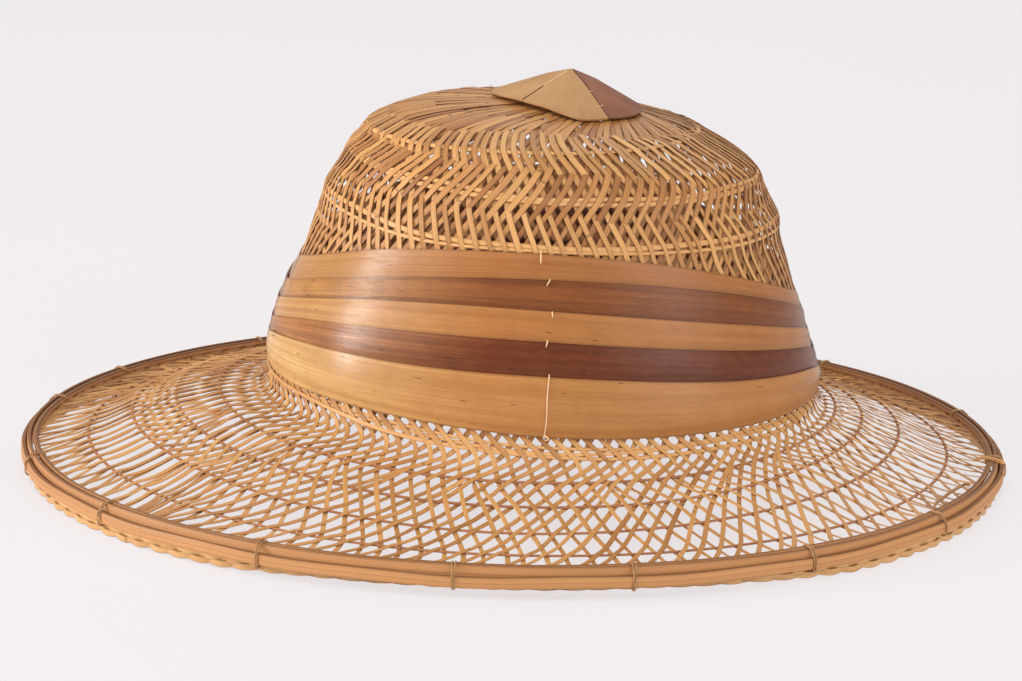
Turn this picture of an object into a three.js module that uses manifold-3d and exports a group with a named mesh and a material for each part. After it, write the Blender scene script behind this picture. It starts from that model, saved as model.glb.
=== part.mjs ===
// Sun helmet woven from split bamboo: an open weave crown and brim on thin cane rings,
// five overlapping sheath strips on each side of the crown, a rim of three cane hoops
// with a plaited edge below it, and a small leaf cap on top.
// Millimetres, Z up, front at -X, rear at +X, resting plane at z = 0.
import * as THREE from "three";
import { mergeVertices } from "three/addons/utils/BufferGeometryUtils.js";
import Module from "manifold-3d";

const wasm = await Module();
wasm.setup();

// Driving sizes
const HOOP_HALF_LENGTH = 187;
const HOOP_HALF_WIDTH = 162;
const HOOP_LIFT = 4;
const CLEARANCE = 0.3;
const WEAVE_THICKNESS = 1.6;
const BRIM_STEPS = 40;
const CROWN_STEPS = 36;
const STRIP_THICKNESS = 0.8;
const STRIP_LAP_SHARE = 0.2;
const STRIP_END_ANGLE = 1.2;
const CANE_WIDTH = 2.0;
const CANE_THICKNESS = 1.0;
const TIE_WIDTH = 1.6;
const TIE_THICKNESS = 0.5;
const LEAF_THICKNESS = 0.8;
const LEAF_TIP_RADIUS = 0.6;
const LEAF_SEAM_ANGLE = 0.5;

// Steps used when the surface is measured
const FRAME_STEP = 0.05;
const BISECTION_TURNS = 30;
const MERGE_TOLERANCE = 1e-4;

// Surface stations from the rim up, heights above the underside of the hoops
// columns: name, x at the front, x at the rear, half width, z front, z rear, z sides
const BRIM_TABLE = [
  ["rim_edge", -181.4, 181.4, 156.4, 4.7, 4.7, 4.7],
  ["ring_a", -161.4, 165.0, 141.0, 7.5, 5.8, 5.0],
  ["ring_b", -144.2, 146.6, 125.5, 15.8, 14.0, 7.9],
  ["ring_c", -128.6, 132.4, 112.5, 21.6, 18.7, 13.0],
  ["ring_d", -112.6, 122.0, 101.0, 24.4, 21.6, 18.2],
  ["brim_root", -94.5, 115.8, 92.5, 26.5, 23.5, 24.5],
  ["brim_inner", -90.7, 112.0, 88.7, 27.0, 24.0, 25.0],
];
const CROWN_TABLE = [
  ["foot", -92.5, 113.8, 90.5, 27.4, 24.4, 25.4],
  ["wall_38", -92.4, 113.0, 89.8, 38.0, 38.0, 38.0],
  ["wall_57", -88.6, 106.6, 86.0, 57.0, 57.0, 57.0],
  ["wall_77", -80.4, 101.4, 79.4, 77.0, 77.0, 77.0],
  ["wall_96", -74.2, 96.4, 74.6, 96.5, 96.5, 96.5],
  ["wall_106", -70.7, 91.6, 71.2, 106.0, 106.0, 106.0],
  ["wall_114", -66.0, 86.8, 66.8, 114.0, 114.0, 114.0],
  ["shoulder_121", -61.5, 77.0, 60.5, 121.0, 121.0, 121.0],
  ["shoulder_127", -55.5, 62.0, 51.5, 127.6, 128.2, 127.4],
  ["dome_132", -43.0, 50.0, 40.0, 133.2, 131.0, 132.4],
  ["dome_135", -26.0, 41.0, 27.0, 136.2, 132.8, 135.4],
];
const CROWN_APEX = [14, 0, 137];

// The crown is made in two parts that meet at this row, with a clearance between them
const CROWN_SEAM_ROW = 5;
const CROWN_SEAM_SHARE = 0.04;

// Cane rings that lie on the brim, each on the station of the same name
const BRIM_CANES = ["ring_a", "ring_b", "ring_c", "ring_d"];

// Cane rings on the crown, columns: name, width, heights every 30 degrees from front to rear
const CROWN_CANES = [
  ["crown_cane_lower", 1.8, [103.5, 101.8, 98.6, 97.7, 96.6, 95.2, 94.6]],
  ["crown_cane_middle", 3.2, [118.2, 117.8, 115.2, 112.3, 111.4, 111, 111]],
  ["crown_cane_top", 1.8, [126.5, 126.5, 126.5, 126.5, 126.5, 126.5, 126.5]],
];
const JUNCTION_CANE = ["junction_cane", 2.4, [36.5, 34.5, 30.5, 26.6, 25.9, 27.2, 28.3]];

// Edge heights of the sheath strips every 15 degrees from front to rear
const STRIP_EDGES = [
  [75.0, 79.0, 84.7, 90.0, 93.4, 95.0, 94.9, 93.1, 89.5, 84.1, 77.4, 70.5, 65.0],
  [66.0, 69.8, 75.3, 80.1, 83.7, 85.7, 86.1, 84.8, 81.9, 77.4, 71.4, 64.6, 57.4],
  [58.5, 62.8, 67.9, 72.1, 74.8, 75.9, 75.4, 73.6, 70.6, 66.7, 61.9, 56.2, 50.2],
  [51.5, 55.9, 60.3, 63.1, 64.8, 65.4, 65.0, 63.4, 60.8, 57.3, 53.2, 48.6, 43.7],
  [46.5, 50.0, 52.4, 53.6, 54.0, 54.0, 53.5, 52.0, 49.6, 46.8, 44.0, 41.0, 37.2],
  [40.0, 37.6, 36.6, 36.2, 35.4, 34.0, 32.4, 31.4, 30.9, 30.4, 30.2, 30.6, 31.0],
];
const STRIP_SINK = 0.3;
const STRIP_LIFT = 1.8;
// Section points of each strip as shares of its height; the lowest bends over the wall
const STRIP_ROWS = [[0, 1], [0, 1], [0, 1], [0, 1], [0, 0.5, 1]];

// Hoop sections, columns: inset from the outer outline, height above the hoop underside
const HOOP_SECTIONS = {
  rim_hoop_outer: [[2.3, 0], [0.7, 0], [0, 1.3], [0, 3.3], [0.7, 4.6], [2.3, 4.6]],
  rim_hoop_upper: [[4.6, 0.3], [2.6, 0.3], [2.8, 7.3], [4.6, 7.3]],
  rim_hoop_inner: [[7.0, 5.2], [4.9, 5.2], [5.1, 7.3], [7.0, 7.3]],
};

// Plaited edge, columns: angle from the front in degrees, inset, height of its underside
const BRAID_TABLE = [
  [0, 1.6, -1.8],
  [15, 1.2, -3.0],
  [27, 1.0, -4.0],
  [45, 1.0, -4.0],
  [58, 1.4, -3.4],
  [68, 3.0, -2.0],
  [80, 4.9, -1.8],
  [105, 4.9, -1.8],
  [118, 2.6, -2.4],
  [130, 1.0, -4.0],
  [150, 1.0, -4.0],
  [165, 1.2, -3.0],
  [180, 1.6, -1.8],
];
const BRAID_WIDTH = 2.4;
const BRAID_TOP = -1.05;

// Fibre ties round the hoops, angles in degrees from the rear, near side negative
const TIE_ANGLES = [
  -163.8, -140.8, -117.5, -95.9, -77, -56.1, -34.4, -6.9,
  15.5, 45, 74, 100, 126, 150.9, 167.7,
];

// Bands of diamond gaps cut through the weave: table row below the band, and its phase
const BRIM_GAPS = { 0: 0, 1: 1, 2: 0, 3: 1 };
const CROWN_WALL_GAPS = { 4: 0 };
const CROWN_TOP_GAPS = { 0: 1 };
const GAP_HEIGHT_SHARE = 0.62;
const GAP_WIDTH_SHARE = 0.62;

// Leaf cap, columns: angle in degrees, radius of the fold, its height, radius of the rim
const CAP_CENTRE = [18.5, 0];
const CAP_APEX_HEIGHT = 147.3;
const CAP_SEAT = 0.5;
const CAP_TABLE = [
  [-180, 9.0, 145.4, 29.5],
  [-156, 9.0, 145.2, 27.5],
  [-132, 9.0, 144.9, 27.0],
  [-108, 9.0, 144.6, 27.5],
  [-84, 9.5, 144.2, 31.5],
  [-61.6, 9.5, 143.9, 28.5],
  [-36, 9.5, 143.6, 27.5],
  [0, 9.0, 143.6, 25.8],
  [36, 9.5, 143.6, 27.5],
  [61.6, 9.5, 143.9, 28.5],
  [84, 9.5, 144.2, 31.5],
  [108, 9.0, 144.6, 27.5],
  [132, 9.0, 144.9, 27.0],
  [156, 9.0, 145.2, 27.5],
  [180, 9.0, 145.4, 29.5],
];
// columns: name, first row, last row of the cap table
const CAP_PANELS = [
  ["cap_leaf_near", 2, 5],
  ["cap_leaf_rear", 5, 9],
  ["cap_leaf_far", 9, 12],
  ["cap_leaf_front", 12, 16],
];

const COLOURS = {
  weave: 0xc9995f,
  cane: 0xb07845,
  hoop: 0xb97f4a,
  braid: 0xc4925a,
  tie: 0x8a6a45,
  tan: 0xc8a064,
  brown: 0x8f5f3c,
  darkBrown: 0x7c4528,
  gold: 0xcba36c,
  leaf: 0xbf9a68,
  leafBrown: 0x8b6248,
};

const degrees = THREE.MathUtils.degToRad;

function material(colour) {
  return new THREE.MeshStandardMaterial({ color: colour, roughness: 0.6, metalness: 0 });
}

// Indexed geometry from a list of points and a list of triangles
function solidGeometry(points, faces) {
  const geometry = new THREE.BufferGeometry();
  geometry.setAttribute("position", new THREE.Float32BufferAttribute(points.flat(), 3));
  geometry.setIndex(faces.flat());
  geometry.computeVertexNormals();
  return geometry;
}

// Sections joined into a closed loop or a capped strip; a negative volume is turned over
function loft(sections, closed) {
  const size = sections[0].length;
  const points = sections.flat();
  const faces = [];
  const spans = closed ? sections.length : sections.length - 1;
  for (let i = 0; i < spans; i += 1) {
    const j = (i + 1) % sections.length;
    for (let k = 0; k < size; k += 1) {
      const n = (k + 1) % size;
      faces.push([i * size + k, j * size + k, j * size + n]);
      faces.push([i * size + k, j * size + n, i * size + n]);
    }
  }
  if (!closed) {
    const last = (sections.length - 1) * size;
    for (let k = 1; k < size - 1; k += 1) {
      faces.push([0, k, k + 1]);
      faces.push([last, last + k + 1, last + k]);
    }
  }
  return outward(points, faces);
}

function outward(points, faces) {
  let volume = 0;
  for (const [a, b, c] of faces) {
    const p = new THREE.Vector3(...points[a]);
    const q = new THREE.Vector3(...points[b]);
    const r = new THREE.Vector3(...points[c]);
    volume += p.dot(q.cross(r));
  }
  if (volume < 0) {
    faces.forEach((face) => face.reverse());
  }
  return solidGeometry(points, faces);
}

// Surface of one table at a row number, which may lie between rows, and an angle
function rowValues(table, row) {
  const low = Math.min(Math.floor(row), table.length - 2);
  const part = row - low;
  return table[low].slice(1).map((value, k) => value + (table[low + 1][k + 1] - value) * part);
}

function surfacePoint(table, row, angle) {
  const [front, rear, width, zFront, zRear, zSide] = rowValues(table, row);
  const c = Math.cos(angle);
  const middle = (zFront + zRear) / 4 + zSide / 2;
  const tilt = (zRear - zFront) / 2;
  const saddle = ((zFront + zRear) / 2 - zSide) / 2;
  return new THREE.Vector3(
    (front + rear) / 2 + ((rear - front) / 2) * c,
    width * Math.sin(angle),
    middle + tilt * c + saddle * Math.cos(2 * angle) + HOOP_LIFT,
  );
}

// Directions on the surface: up the meridian and outward from it
function surfaceFrame(table, row, angle) {
  const top = Math.min(row + FRAME_STEP, table.length - 1);
  const bottom = Math.max(row - FRAME_STEP, 0);
  const up = surfacePoint(table, top, angle).sub(surfacePoint(table, bottom, angle)).normalize();
  const ahead = surfacePoint(table, row, angle + FRAME_STEP);
  const around = ahead.sub(surfacePoint(table, row, angle - FRAME_STEP));
  const out = around.normalize().cross(up).normalize();
  return { up, out };
}

function offsetPoint(table, row, angle, rise) {
  const { out } = surfaceFrame(table, row, angle);
  return surfacePoint(table, row, angle).addScaledVector(out, rise);
}

function rowOf(table, name) {
  return table.findIndex((entry) => entry[0] === name);
}

// Row number at which the wall of the crown reaches a height above the hoops
function crownRow(height, angle) {
  let low = 0;
  let high = CROWN_TABLE.length - 1;
  for (let i = 0; i < BISECTION_TURNS; i += 1) {
    const middle = (low + high) / 2;
    if (surfacePoint(CROWN_TABLE, middle, angle).z - HOOP_LIFT < height) {
      low = middle;
    } else {
      high = middle;
    }
  }
  return (low + high) / 2;
}

// Value at an angle from a list of values spread evenly from front to rear
function spread(values, angle) {
  const turn = Math.acos(THREE.MathUtils.clamp(-Math.cos(angle), -1, 1)) / Math.PI;
  const place = turn * (values.length - 1);
  const low = Math.min(Math.floor(place), values.length - 2);
  return values[low] + (values[low + 1] - values[low]) * (place - low);
}

// One skin of a woven shell: a grid of rows and steps, with diamond gaps in some bands
function skin(place, rowCount, steps, gapBands) {
  const points = [];
  const faces = [];
  const gaps = [];
  const angleAt = (k) => (2 * Math.PI * k) / steps;
  for (let row = 0; row < rowCount; row += 1) {
    for (let k = 0; k < steps; k += 1) {
      points.push(place(row, angleAt(k)));
    }
  }
  const at = (row, k) => row * steps + ((k + steps) % steps);
  for (let row = 0; row < rowCount - 1; row += 1) {
    const phase = gapBands[row];
    if (phase === undefined) {
      for (let k = 0; k < steps; k += 1) {
        faces.push([at(row, k), at(row, k + 1), at(row + 1, k + 1)]);
        faces.push([at(row, k), at(row + 1, k + 1), at(row + 1, k)]);
      }
      continue;
    }
    for (let k = phase; k < steps; k += 2) {
      const middle = row + 0.5;
      const centre = place(middle, angleAt(k));
      const low = place(middle - GAP_HEIGHT_SHARE / 2, angleAt(k));
      const high = place(middle + GAP_HEIGHT_SHARE / 2, angleAt(k));
      const left = centre.clone().lerp(place(middle, angleAt(k - 1)), GAP_WIDTH_SHARE);
      const right = centre.clone().lerp(place(middle, angleAt(k + 1)), GAP_WIDTH_SHARE);
      const first = points.push(low, right, high, left) - 4;
      const [lo, ri, hi, le] = [first, first + 1, first + 2, first + 3];
      const [a, b, c] = [at(row, k - 1), at(row, k), at(row, k + 1)];
      const [d, e, f] = [at(row + 1, k + 1), at(row + 1, k), at(row + 1, k - 1)];
      faces.push([a, b, lo], [b, c, lo], [c, ri, lo], [c, d, ri], [d, hi, ri]);
      faces.push([d, e, hi], [e, f, hi], [f, le, hi], [f, a, le], [a, lo, le]);
      gaps.push([lo, ri, hi, le]);
    }
  }
  const loop = (row) => Array.from({ length: steps }, (_, k) => at(row, k));
  return { points, faces, gaps, foot: loop(0).reverse(), top: loop(rowCount - 1) };
}

// Two skins joined by walls at their edges and round each gap
function wovenShell(outer, inner, rowCount, steps, gapBands, closedTop) {
  const outerSkin = skin(outer, rowCount, steps, gapBands);
  const innerSkin = skin(inner, rowCount, steps, gapBands);
  const points = [...outerSkin.points, ...innerSkin.points];
  const shift = outerSkin.points.length;
  const faces = [
    ...outerSkin.faces,
    ...innerSkin.faces.map(([a, b, c]) => [c + shift, b + shift, a + shift]),
  ];
  const walls = closedTop
    ? [outerSkin.foot, ...outerSkin.gaps]
    : [outerSkin.foot, outerSkin.top, ...outerSkin.gaps];
  walls.forEach((loop) => {
    loop.forEach((a, i) => {
      const b = loop[(i + 1) % loop.length];
      faces.push([a, b, b + shift], [a, b + shift, a + shift]);
    });
  });
  if (closedTop) {
    const apex = new THREE.Vector3(...closedTop);
    const outerTip = points.push(apex) - 1;
    const innerTip = points.push(apex.clone().setZ(apex.z - WEAVE_THICKNESS)) - 1;
    outerSkin.top.forEach((a, i) => {
      const b = outerSkin.top[(i + 1) % steps];
      faces.push([a, b, outerTip], [b + shift, a + shift, innerTip]);
    });
  }
  return outward(points.map((p) => p.toArray()), faces);
}

function brimShell() {
  const outer = (row, angle) => surfacePoint(BRIM_TABLE, row, angle);
  const inner = (row, angle) => {
    const p = outer(row, angle);
    return p.setZ(p.z - WEAVE_THICKNESS);
  };
  return wovenShell(outer, inner, BRIM_TABLE.length, BRIM_STEPS, BRIM_GAPS, null);
}

// Part of the crown between two table rows; the first row may lie between two stations
function crownShell(firstRow, lastRow, gapBands, closedTop) {
  const below = Math.floor(firstRow);
  const tableRow = (row) => Math.max(below + row, firstRow + row * (1 - firstRow + below));
  const outer = (row, angle) => surfacePoint(CROWN_TABLE, tableRow(row), angle);
  const inner = (row, angle) => {
    const p = offsetPoint(CROWN_TABLE, tableRow(row), angle, -WEAVE_THICKNESS);
    return tableRow(row) === 0 ? p.setZ(outer(row, angle).z) : p;
  };
  return wovenShell(outer, inner, lastRow - below + 1, CROWN_STEPS, gapBands, closedTop);
}

function toManifold(geometry) {
  const bare = geometry.clone();
  bare.deleteAttribute("normal");
  bare.deleteAttribute("uv");
  const merged = mergeVertices(bare, MERGE_TOLERANCE);
  return new wasm.Manifold(new wasm.Mesh({
    numProp: 3,
    vertProperties: new Float32Array(merged.attributes.position.array),
    triVerts: new Uint32Array(merged.index.array),
  }));
}

function fromManifold(solid) {
  const mesh = solid.getMesh();
  const geometry = new THREE.BufferGeometry();
  geometry.setAttribute("position", new THREE.BufferAttribute(mesh.vertProperties, 3));
  geometry.setIndex(new THREE.BufferAttribute(mesh.triVerts, 1));
  geometry.computeVertexNormals();
  return geometry;
}

function withSlots(shell, cutters) {
  return fromManifold(cutters.reduce(
    (solid, cutter) => solid.subtract(toManifold(cutter)),
    toManifold(shell),
  ));
}

// Point on the outline of the hoops, moved in by an inset
function rimPoint(angle, inset, height) {
  const c = Math.cos(angle);
  const s = Math.sin(angle);
  const nx = HOOP_HALF_WIDTH * c;
  const ny = HOOP_HALF_LENGTH * s;
  const size = Math.hypot(nx, ny);
  return new THREE.Vector3(
    HOOP_HALF_LENGTH * c - (inset * nx) / size,
    HOOP_HALF_WIDTH * s - (inset * ny) / size,
    HOOP_LIFT + height,
  );
}

function hoop(section) {
  const sections = [];
  for (let i = 0; i < BRIM_STEPS; i += 1) {
    const angle = (2 * Math.PI * i) / BRIM_STEPS;
    sections.push(section.map(([inset, height]) => rimPoint(angle, inset, height).toArray()));
  }
  return loft(sections, true);
}

// Value from a table of rows that start with an angle, measured in degrees from the front
function fromTable(table, column, angle) {
  const fromFront = THREE.MathUtils.radToDeg(Math.acos(THREE.MathUtils.clamp(-Math.cos(angle), -1, 1)));
  const next = Math.max(1, table.findIndex((entry) => entry[0] >= fromFront - 1e-6));
  const [a, b] = [table[next - 1], table[next]];
  return a[column] + ((b[column] - a[column]) * (fromFront - a[0])) / (b[0] - a[0]);
}

function braid() {
  const sections = [];
  for (let i = 0; i < BRIM_STEPS; i += 1) {
    const angle = (2 * Math.PI * i) / BRIM_STEPS;
    const inset = fromTable(BRAID_TABLE, 1, angle);
    const bottom = fromTable(BRAID_TABLE, 2, angle);
    sections.push([
      rimPoint(angle, inset, bottom).toArray(),
      rimPoint(angle, inset, BRAID_TOP).toArray(),
      rimPoint(angle, inset + BRAID_WIDTH, BRAID_TOP).toArray(),
      rimPoint(angle, inset + BRAID_WIDTH, bottom).toArray(),
    ]);
  }
  return loft(sections, true);
}

// Flat block on the straight side of the hoops at an angle, between insets and heights
function rimBlock(angle, insets, heights, width) {
  const step = (2 * Math.PI) / BRIM_STEPS;
  const first = Math.floor(angle / step) * step;
  const part = (angle - first) / step;
  const place = (inset, height) => rimPoint(first, inset, height)
    .lerp(rimPoint(first + step, inset, height), part);
  const along = rimPoint(first + step, 0, 0).sub(rimPoint(first, 0, 0)).normalize();
  return [-width / 2, width / 2].map((shift) => [
    [insets[0], heights[0]],
    [insets[1], heights[0]],
    [insets[1], heights[1]],
    [insets[0], heights[1]],
  ].map(([inset, height]) => place(inset, height).addScaledVector(along, shift).toArray()));
}

const TIE_INSETS = [-CLEARANCE, HOOP_SECTIONS.rim_hoop_inner[0][0] + CLEARANCE];
const TIE_HEIGHTS = [-0.25, HOOP_SECTIONS.rim_hoop_inner[3][1] + CLEARANCE];

// Closed loop of fibre: an outer block with the room for the hoops taken out of it
function tie(angle) {
  const inner = rimBlock(angle, TIE_INSETS, TIE_HEIGHTS, TIE_WIDTH);
  const outer = rimBlock(
    angle,
    [TIE_INSETS[0] - TIE_THICKNESS, TIE_INSETS[1] + TIE_THICKNESS],
    [TIE_HEIGHTS[0] - TIE_THICKNESS, TIE_HEIGHTS[1] + TIE_THICKNESS],
    TIE_WIDTH,
  );
  const sections = [0, 1, 2, 3].map((corner) => [
    outer[0][corner],
    outer[1][corner],
    inner[1][corner],
    inner[0][corner],
  ]);
  return loft(sections, true);
}

function tieSlot(angle) {
  const reach = TIE_INSETS[1];
  return loft(rimBlock(
    angle,
    [reach - CLEARANCE, reach + TIE_THICKNESS + CLEARANCE],
    [-1, HOOP_SECTIONS.rim_hoop_inner[3][1]],
    TIE_WIDTH + 2 * CLEARANCE,
  ), false);
}

// Flat cane lying on the surface: a low section, one clearance above the weave
function caneSection(table, row, angle, width) {
  const { up, out } = surfaceFrame(table, row, angle);
  const centre = surfacePoint(table, row, angle);
  return [
    [-width / 2, CLEARANCE],
    [width / 2, CLEARANCE],
    [width / 2, CLEARANCE + CANE_THICKNESS],
    [-width / 2, CLEARANCE + CANE_THICKNESS],
  ].map(([along, rise]) =>
    centre.clone().addScaledVector(up, along).addScaledVector(out, rise).toArray());
}

function brimCane(name) {
  const sections = [];
  for (let i = 0; i < BRIM_STEPS; i += 1) {
    const angle = (2 * Math.PI * i) / BRIM_STEPS;
    sections.push(caneSection(BRIM_TABLE, rowOf(BRIM_TABLE, name), angle, CANE_WIDTH));
  }
  return loft(sections, true);
}

function crownCane([, width, heights]) {
  const sections = [];
  for (let i = 0; i < CROWN_STEPS; i += 1) {
    const angle = (2 * Math.PI * i) / CROWN_STEPS;
    const row = crownRow(spread(heights, angle), angle);
    sections.push(caneSection(CROWN_TABLE, row, angle, width));
  }
  return loft(sections, true);
}

// One sheath strip on one side; its upper edge laps over the strip above it
function sheathStrip(index, side) {
  const sections = [];
  const steps = CROWN_STEPS / 2;
  const lifted = index === 0 ? STRIP_SINK + CLEARANCE : STRIP_LIFT;
  for (let i = 0; i <= steps; i += 1) {
    const plain = 180 - (180 * i) / steps;
    const angle = side * degrees(THREE.MathUtils.clamp(plain, STRIP_END_ANGLE, 180 - STRIP_END_ANGLE));
    const top = spread(STRIP_EDGES[index], angle);
    const edge = spread(STRIP_EDGES[index + 1], angle);
    const lap = index < STRIP_EDGES.length - 2 ? (top - edge) * STRIP_LAP_SHARE : 0;
    const bottom = edge - lap;
    const rows = STRIP_ROWS[index].map((share) => [
      top + (bottom - top) * share,
      lifted + (STRIP_SINK - lifted) * share,
    ]);
    const outer = rows.map(([height, rise]) =>
      offsetPoint(CROWN_TABLE, crownRow(height, angle), angle, rise + STRIP_THICKNESS));
    const inner = rows.map(([height, rise]) =>
      offsetPoint(CROWN_TABLE, crownRow(height, angle), angle, rise));
    sections.push([...outer, ...inner.reverse()].map((p) => p.toArray()));
  }
  return loft(sections, false);
}

// Height of the crown above the hoops at a place in plan, near the top
function crownHeight(x, y) {
  const [ax, , az] = CROWN_APEX;
  const table = [...CROWN_TABLE, ["apex", ax, ax, 0, az, az, az]];
  const outside = (row) => {
    const [front, rear, width] = rowValues(table, row);
    return Math.hypot((x - (front + rear) / 2) / (rear - front) * 2, y / width) > 1;
  };
  let low = rowOf(table, "wall_114");
  let high = table.length - 1;
  for (let i = 0; i < BISECTION_TURNS; i += 1) {
    const middle = (low + high) / 2;
    if (outside(middle)) {
      high = middle;
    } else {
      low = middle;
    }
  }
  const [front, rear, width] = rowValues(table, low);
  const angle = Math.atan2(y / width, (x - (front + rear) / 2) / (rear - front) * 2);
  return surfacePoint(table, low, angle).z - HOOP_LIFT;
}

// One leaf of the cap: a thin folded sheet from the apex down to the rim
function capLeaf(first, last) {
  const rows = [];
  for (let i = first; i <= last; i += 1) {
    rows.push(CAP_TABLE[i % (CAP_TABLE.length - 1)]);
  }
  const place = ([angle], radius, height) => [
    CAP_CENTRE[0] + radius * Math.cos(degrees(angle)),
    CAP_CENTRE[1] + radius * Math.sin(degrees(angle)),
    height + HOOP_LIFT,
  ];
  const middle = rows[Math.floor(rows.length / 2)];
  const tip = place(middle, LEAF_TIP_RADIUS, CAP_APEX_HEIGHT);
  const inset = (row, index) => {
    const towardsMiddle = (index === 0 ? 1 : 0) - (index === rows.length - 1 ? 1 : 0);
    return [row[0] + towardsMiddle * LEAF_SEAM_ANGLE, ...row.slice(1)];
  };
  const edges = rows.map(inset);
  const points = [tip];
  edges.forEach((row) => {
    const rim = place(row, row[3], CAP_SEAT + LEAF_THICKNESS);
    rim[2] += crownHeight(rim[0], rim[1]);
    points.push(place(row, row[1], row[2]), rim);
  });
  const count = points.length;
  const under = points.map(([x, y, z]) => [x, y, z - LEAF_THICKNESS]);
  const all = [...points, ...under];
  const faces = [];
  for (let i = 0; i < edges.length - 1; i += 1) {
    const a = 1 + 2 * i;
    faces.push([0, a, a + 2], [a, a + 1, a + 3], [a, a + 3, a + 2]);
  }
  const lower = faces.map(([a, b, c]) => [c + count, b + count, a + count]);
  const border = [0, 1];
  for (let i = 0; i < edges.length; i += 1) {
    border.push(2 + 2 * i);
  }
  border.push(1 + 2 * (edges.length - 1));
  const wall = [];
  border.forEach((a, i) => {
    const b = border[(i + 1) % border.length];
    wall.push([b, a, a + count], [b, a + count, b + count]);
  });
  return outward(all, [...faces, ...lower, ...wall]);
}

const group = new THREE.Group();
group.name = "woven_pith_helmet";

function add(name, geometry, colour) {
  const mesh = new THREE.Mesh(geometry, material(colour));
  mesh.name = name;
  group.add(mesh);
}

const slots = TIE_ANGLES.map((angle) => tieSlot(degrees(angle)));
add("brim_weave", withSlots(brimShell(), slots), COLOURS.weave);
const crownTip = [CROWN_APEX[0], CROWN_APEX[1], CROWN_APEX[2] + HOOP_LIFT];
const seamTop = CROWN_SEAM_ROW + CROWN_SEAM_SHARE;
const lastCrownRow = CROWN_TABLE.length - 1;
add("crown_weave_wall", crownShell(0, CROWN_SEAM_ROW, CROWN_WALL_GAPS, null), COLOURS.weave);
add("crown_weave_top", crownShell(seamTop, lastCrownRow, CROWN_TOP_GAPS, crownTip), COLOURS.weave);

BRIM_CANES.forEach((name) => {
  add(name.replace("ring", "brim_cane"), brimCane(name), COLOURS.cane);
});
CROWN_CANES.forEach((entry) => {
  add(entry[0], crownCane(entry), COLOURS.cane);
});
add(JUNCTION_CANE[0], crownCane(JUNCTION_CANE), COLOURS.cane);

Object.entries(HOOP_SECTIONS).forEach(([name, section]) => {
  add(name, hoop(section), COLOURS.hoop);
});
add("rim_braid", braid(), COLOURS.braid);
TIE_ANGLES.forEach((angle, index) => {
  add(`rim_tie_${String(index + 1).padStart(2, "0")}`, tie(degrees(angle)), COLOURS.tie);
});

const STRIP_COLOURS = [COLOURS.tan, COLOURS.brown, COLOURS.tan, COLOURS.darkBrown, COLOURS.gold];
STRIP_COLOURS.forEach((colour, index) => {
  add(`near_strip_${index + 1}`, sheathStrip(index, -1), colour);
  add(`far_strip_${index + 1}`, sheathStrip(index, 1), colour);
});

CAP_PANELS.forEach(([name, first, last]) => {
  const colour = name === "cap_leaf_rear" ? COLOURS.leafBrown : COLOURS.leaf;
  add(name, capLeaf(first, last), colour);
});

export default group;
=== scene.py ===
"""Looks of a sun helmet woven from split bamboo: two families of strands that spiral over the
crown and brim, thin cane rings between them, sheath strips round the crown, a rim of cane
hoops with a plaited edge, and a folded leaf cap. Metres, Z up, front at -X, rear at +X."""

import math
import random

import bmesh
import bpy
import numpy as np
from mathutils import Matrix, Vector


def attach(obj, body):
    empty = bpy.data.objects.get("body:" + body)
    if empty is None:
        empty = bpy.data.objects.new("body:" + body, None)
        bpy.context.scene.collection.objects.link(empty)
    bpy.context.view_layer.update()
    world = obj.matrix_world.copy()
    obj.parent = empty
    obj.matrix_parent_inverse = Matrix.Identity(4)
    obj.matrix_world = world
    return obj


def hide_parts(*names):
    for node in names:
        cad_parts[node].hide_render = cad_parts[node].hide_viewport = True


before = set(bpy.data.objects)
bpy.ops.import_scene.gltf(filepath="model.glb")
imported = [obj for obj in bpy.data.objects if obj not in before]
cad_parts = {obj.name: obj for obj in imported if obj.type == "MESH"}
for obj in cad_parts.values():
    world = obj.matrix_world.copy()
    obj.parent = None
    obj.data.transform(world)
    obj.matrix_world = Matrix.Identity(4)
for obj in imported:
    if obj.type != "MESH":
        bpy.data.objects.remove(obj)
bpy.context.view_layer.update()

# Sizes are in millimetres where nothing else is said. The hoops' foot lies above the floor
MM = 0.001
HOOP_LIFT = 4.0
HOOP_HALF_LENGTH = 187.0
HOOP_HALF_WIDTH = 162.0
NEAR, FAR = -1, 1

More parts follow.
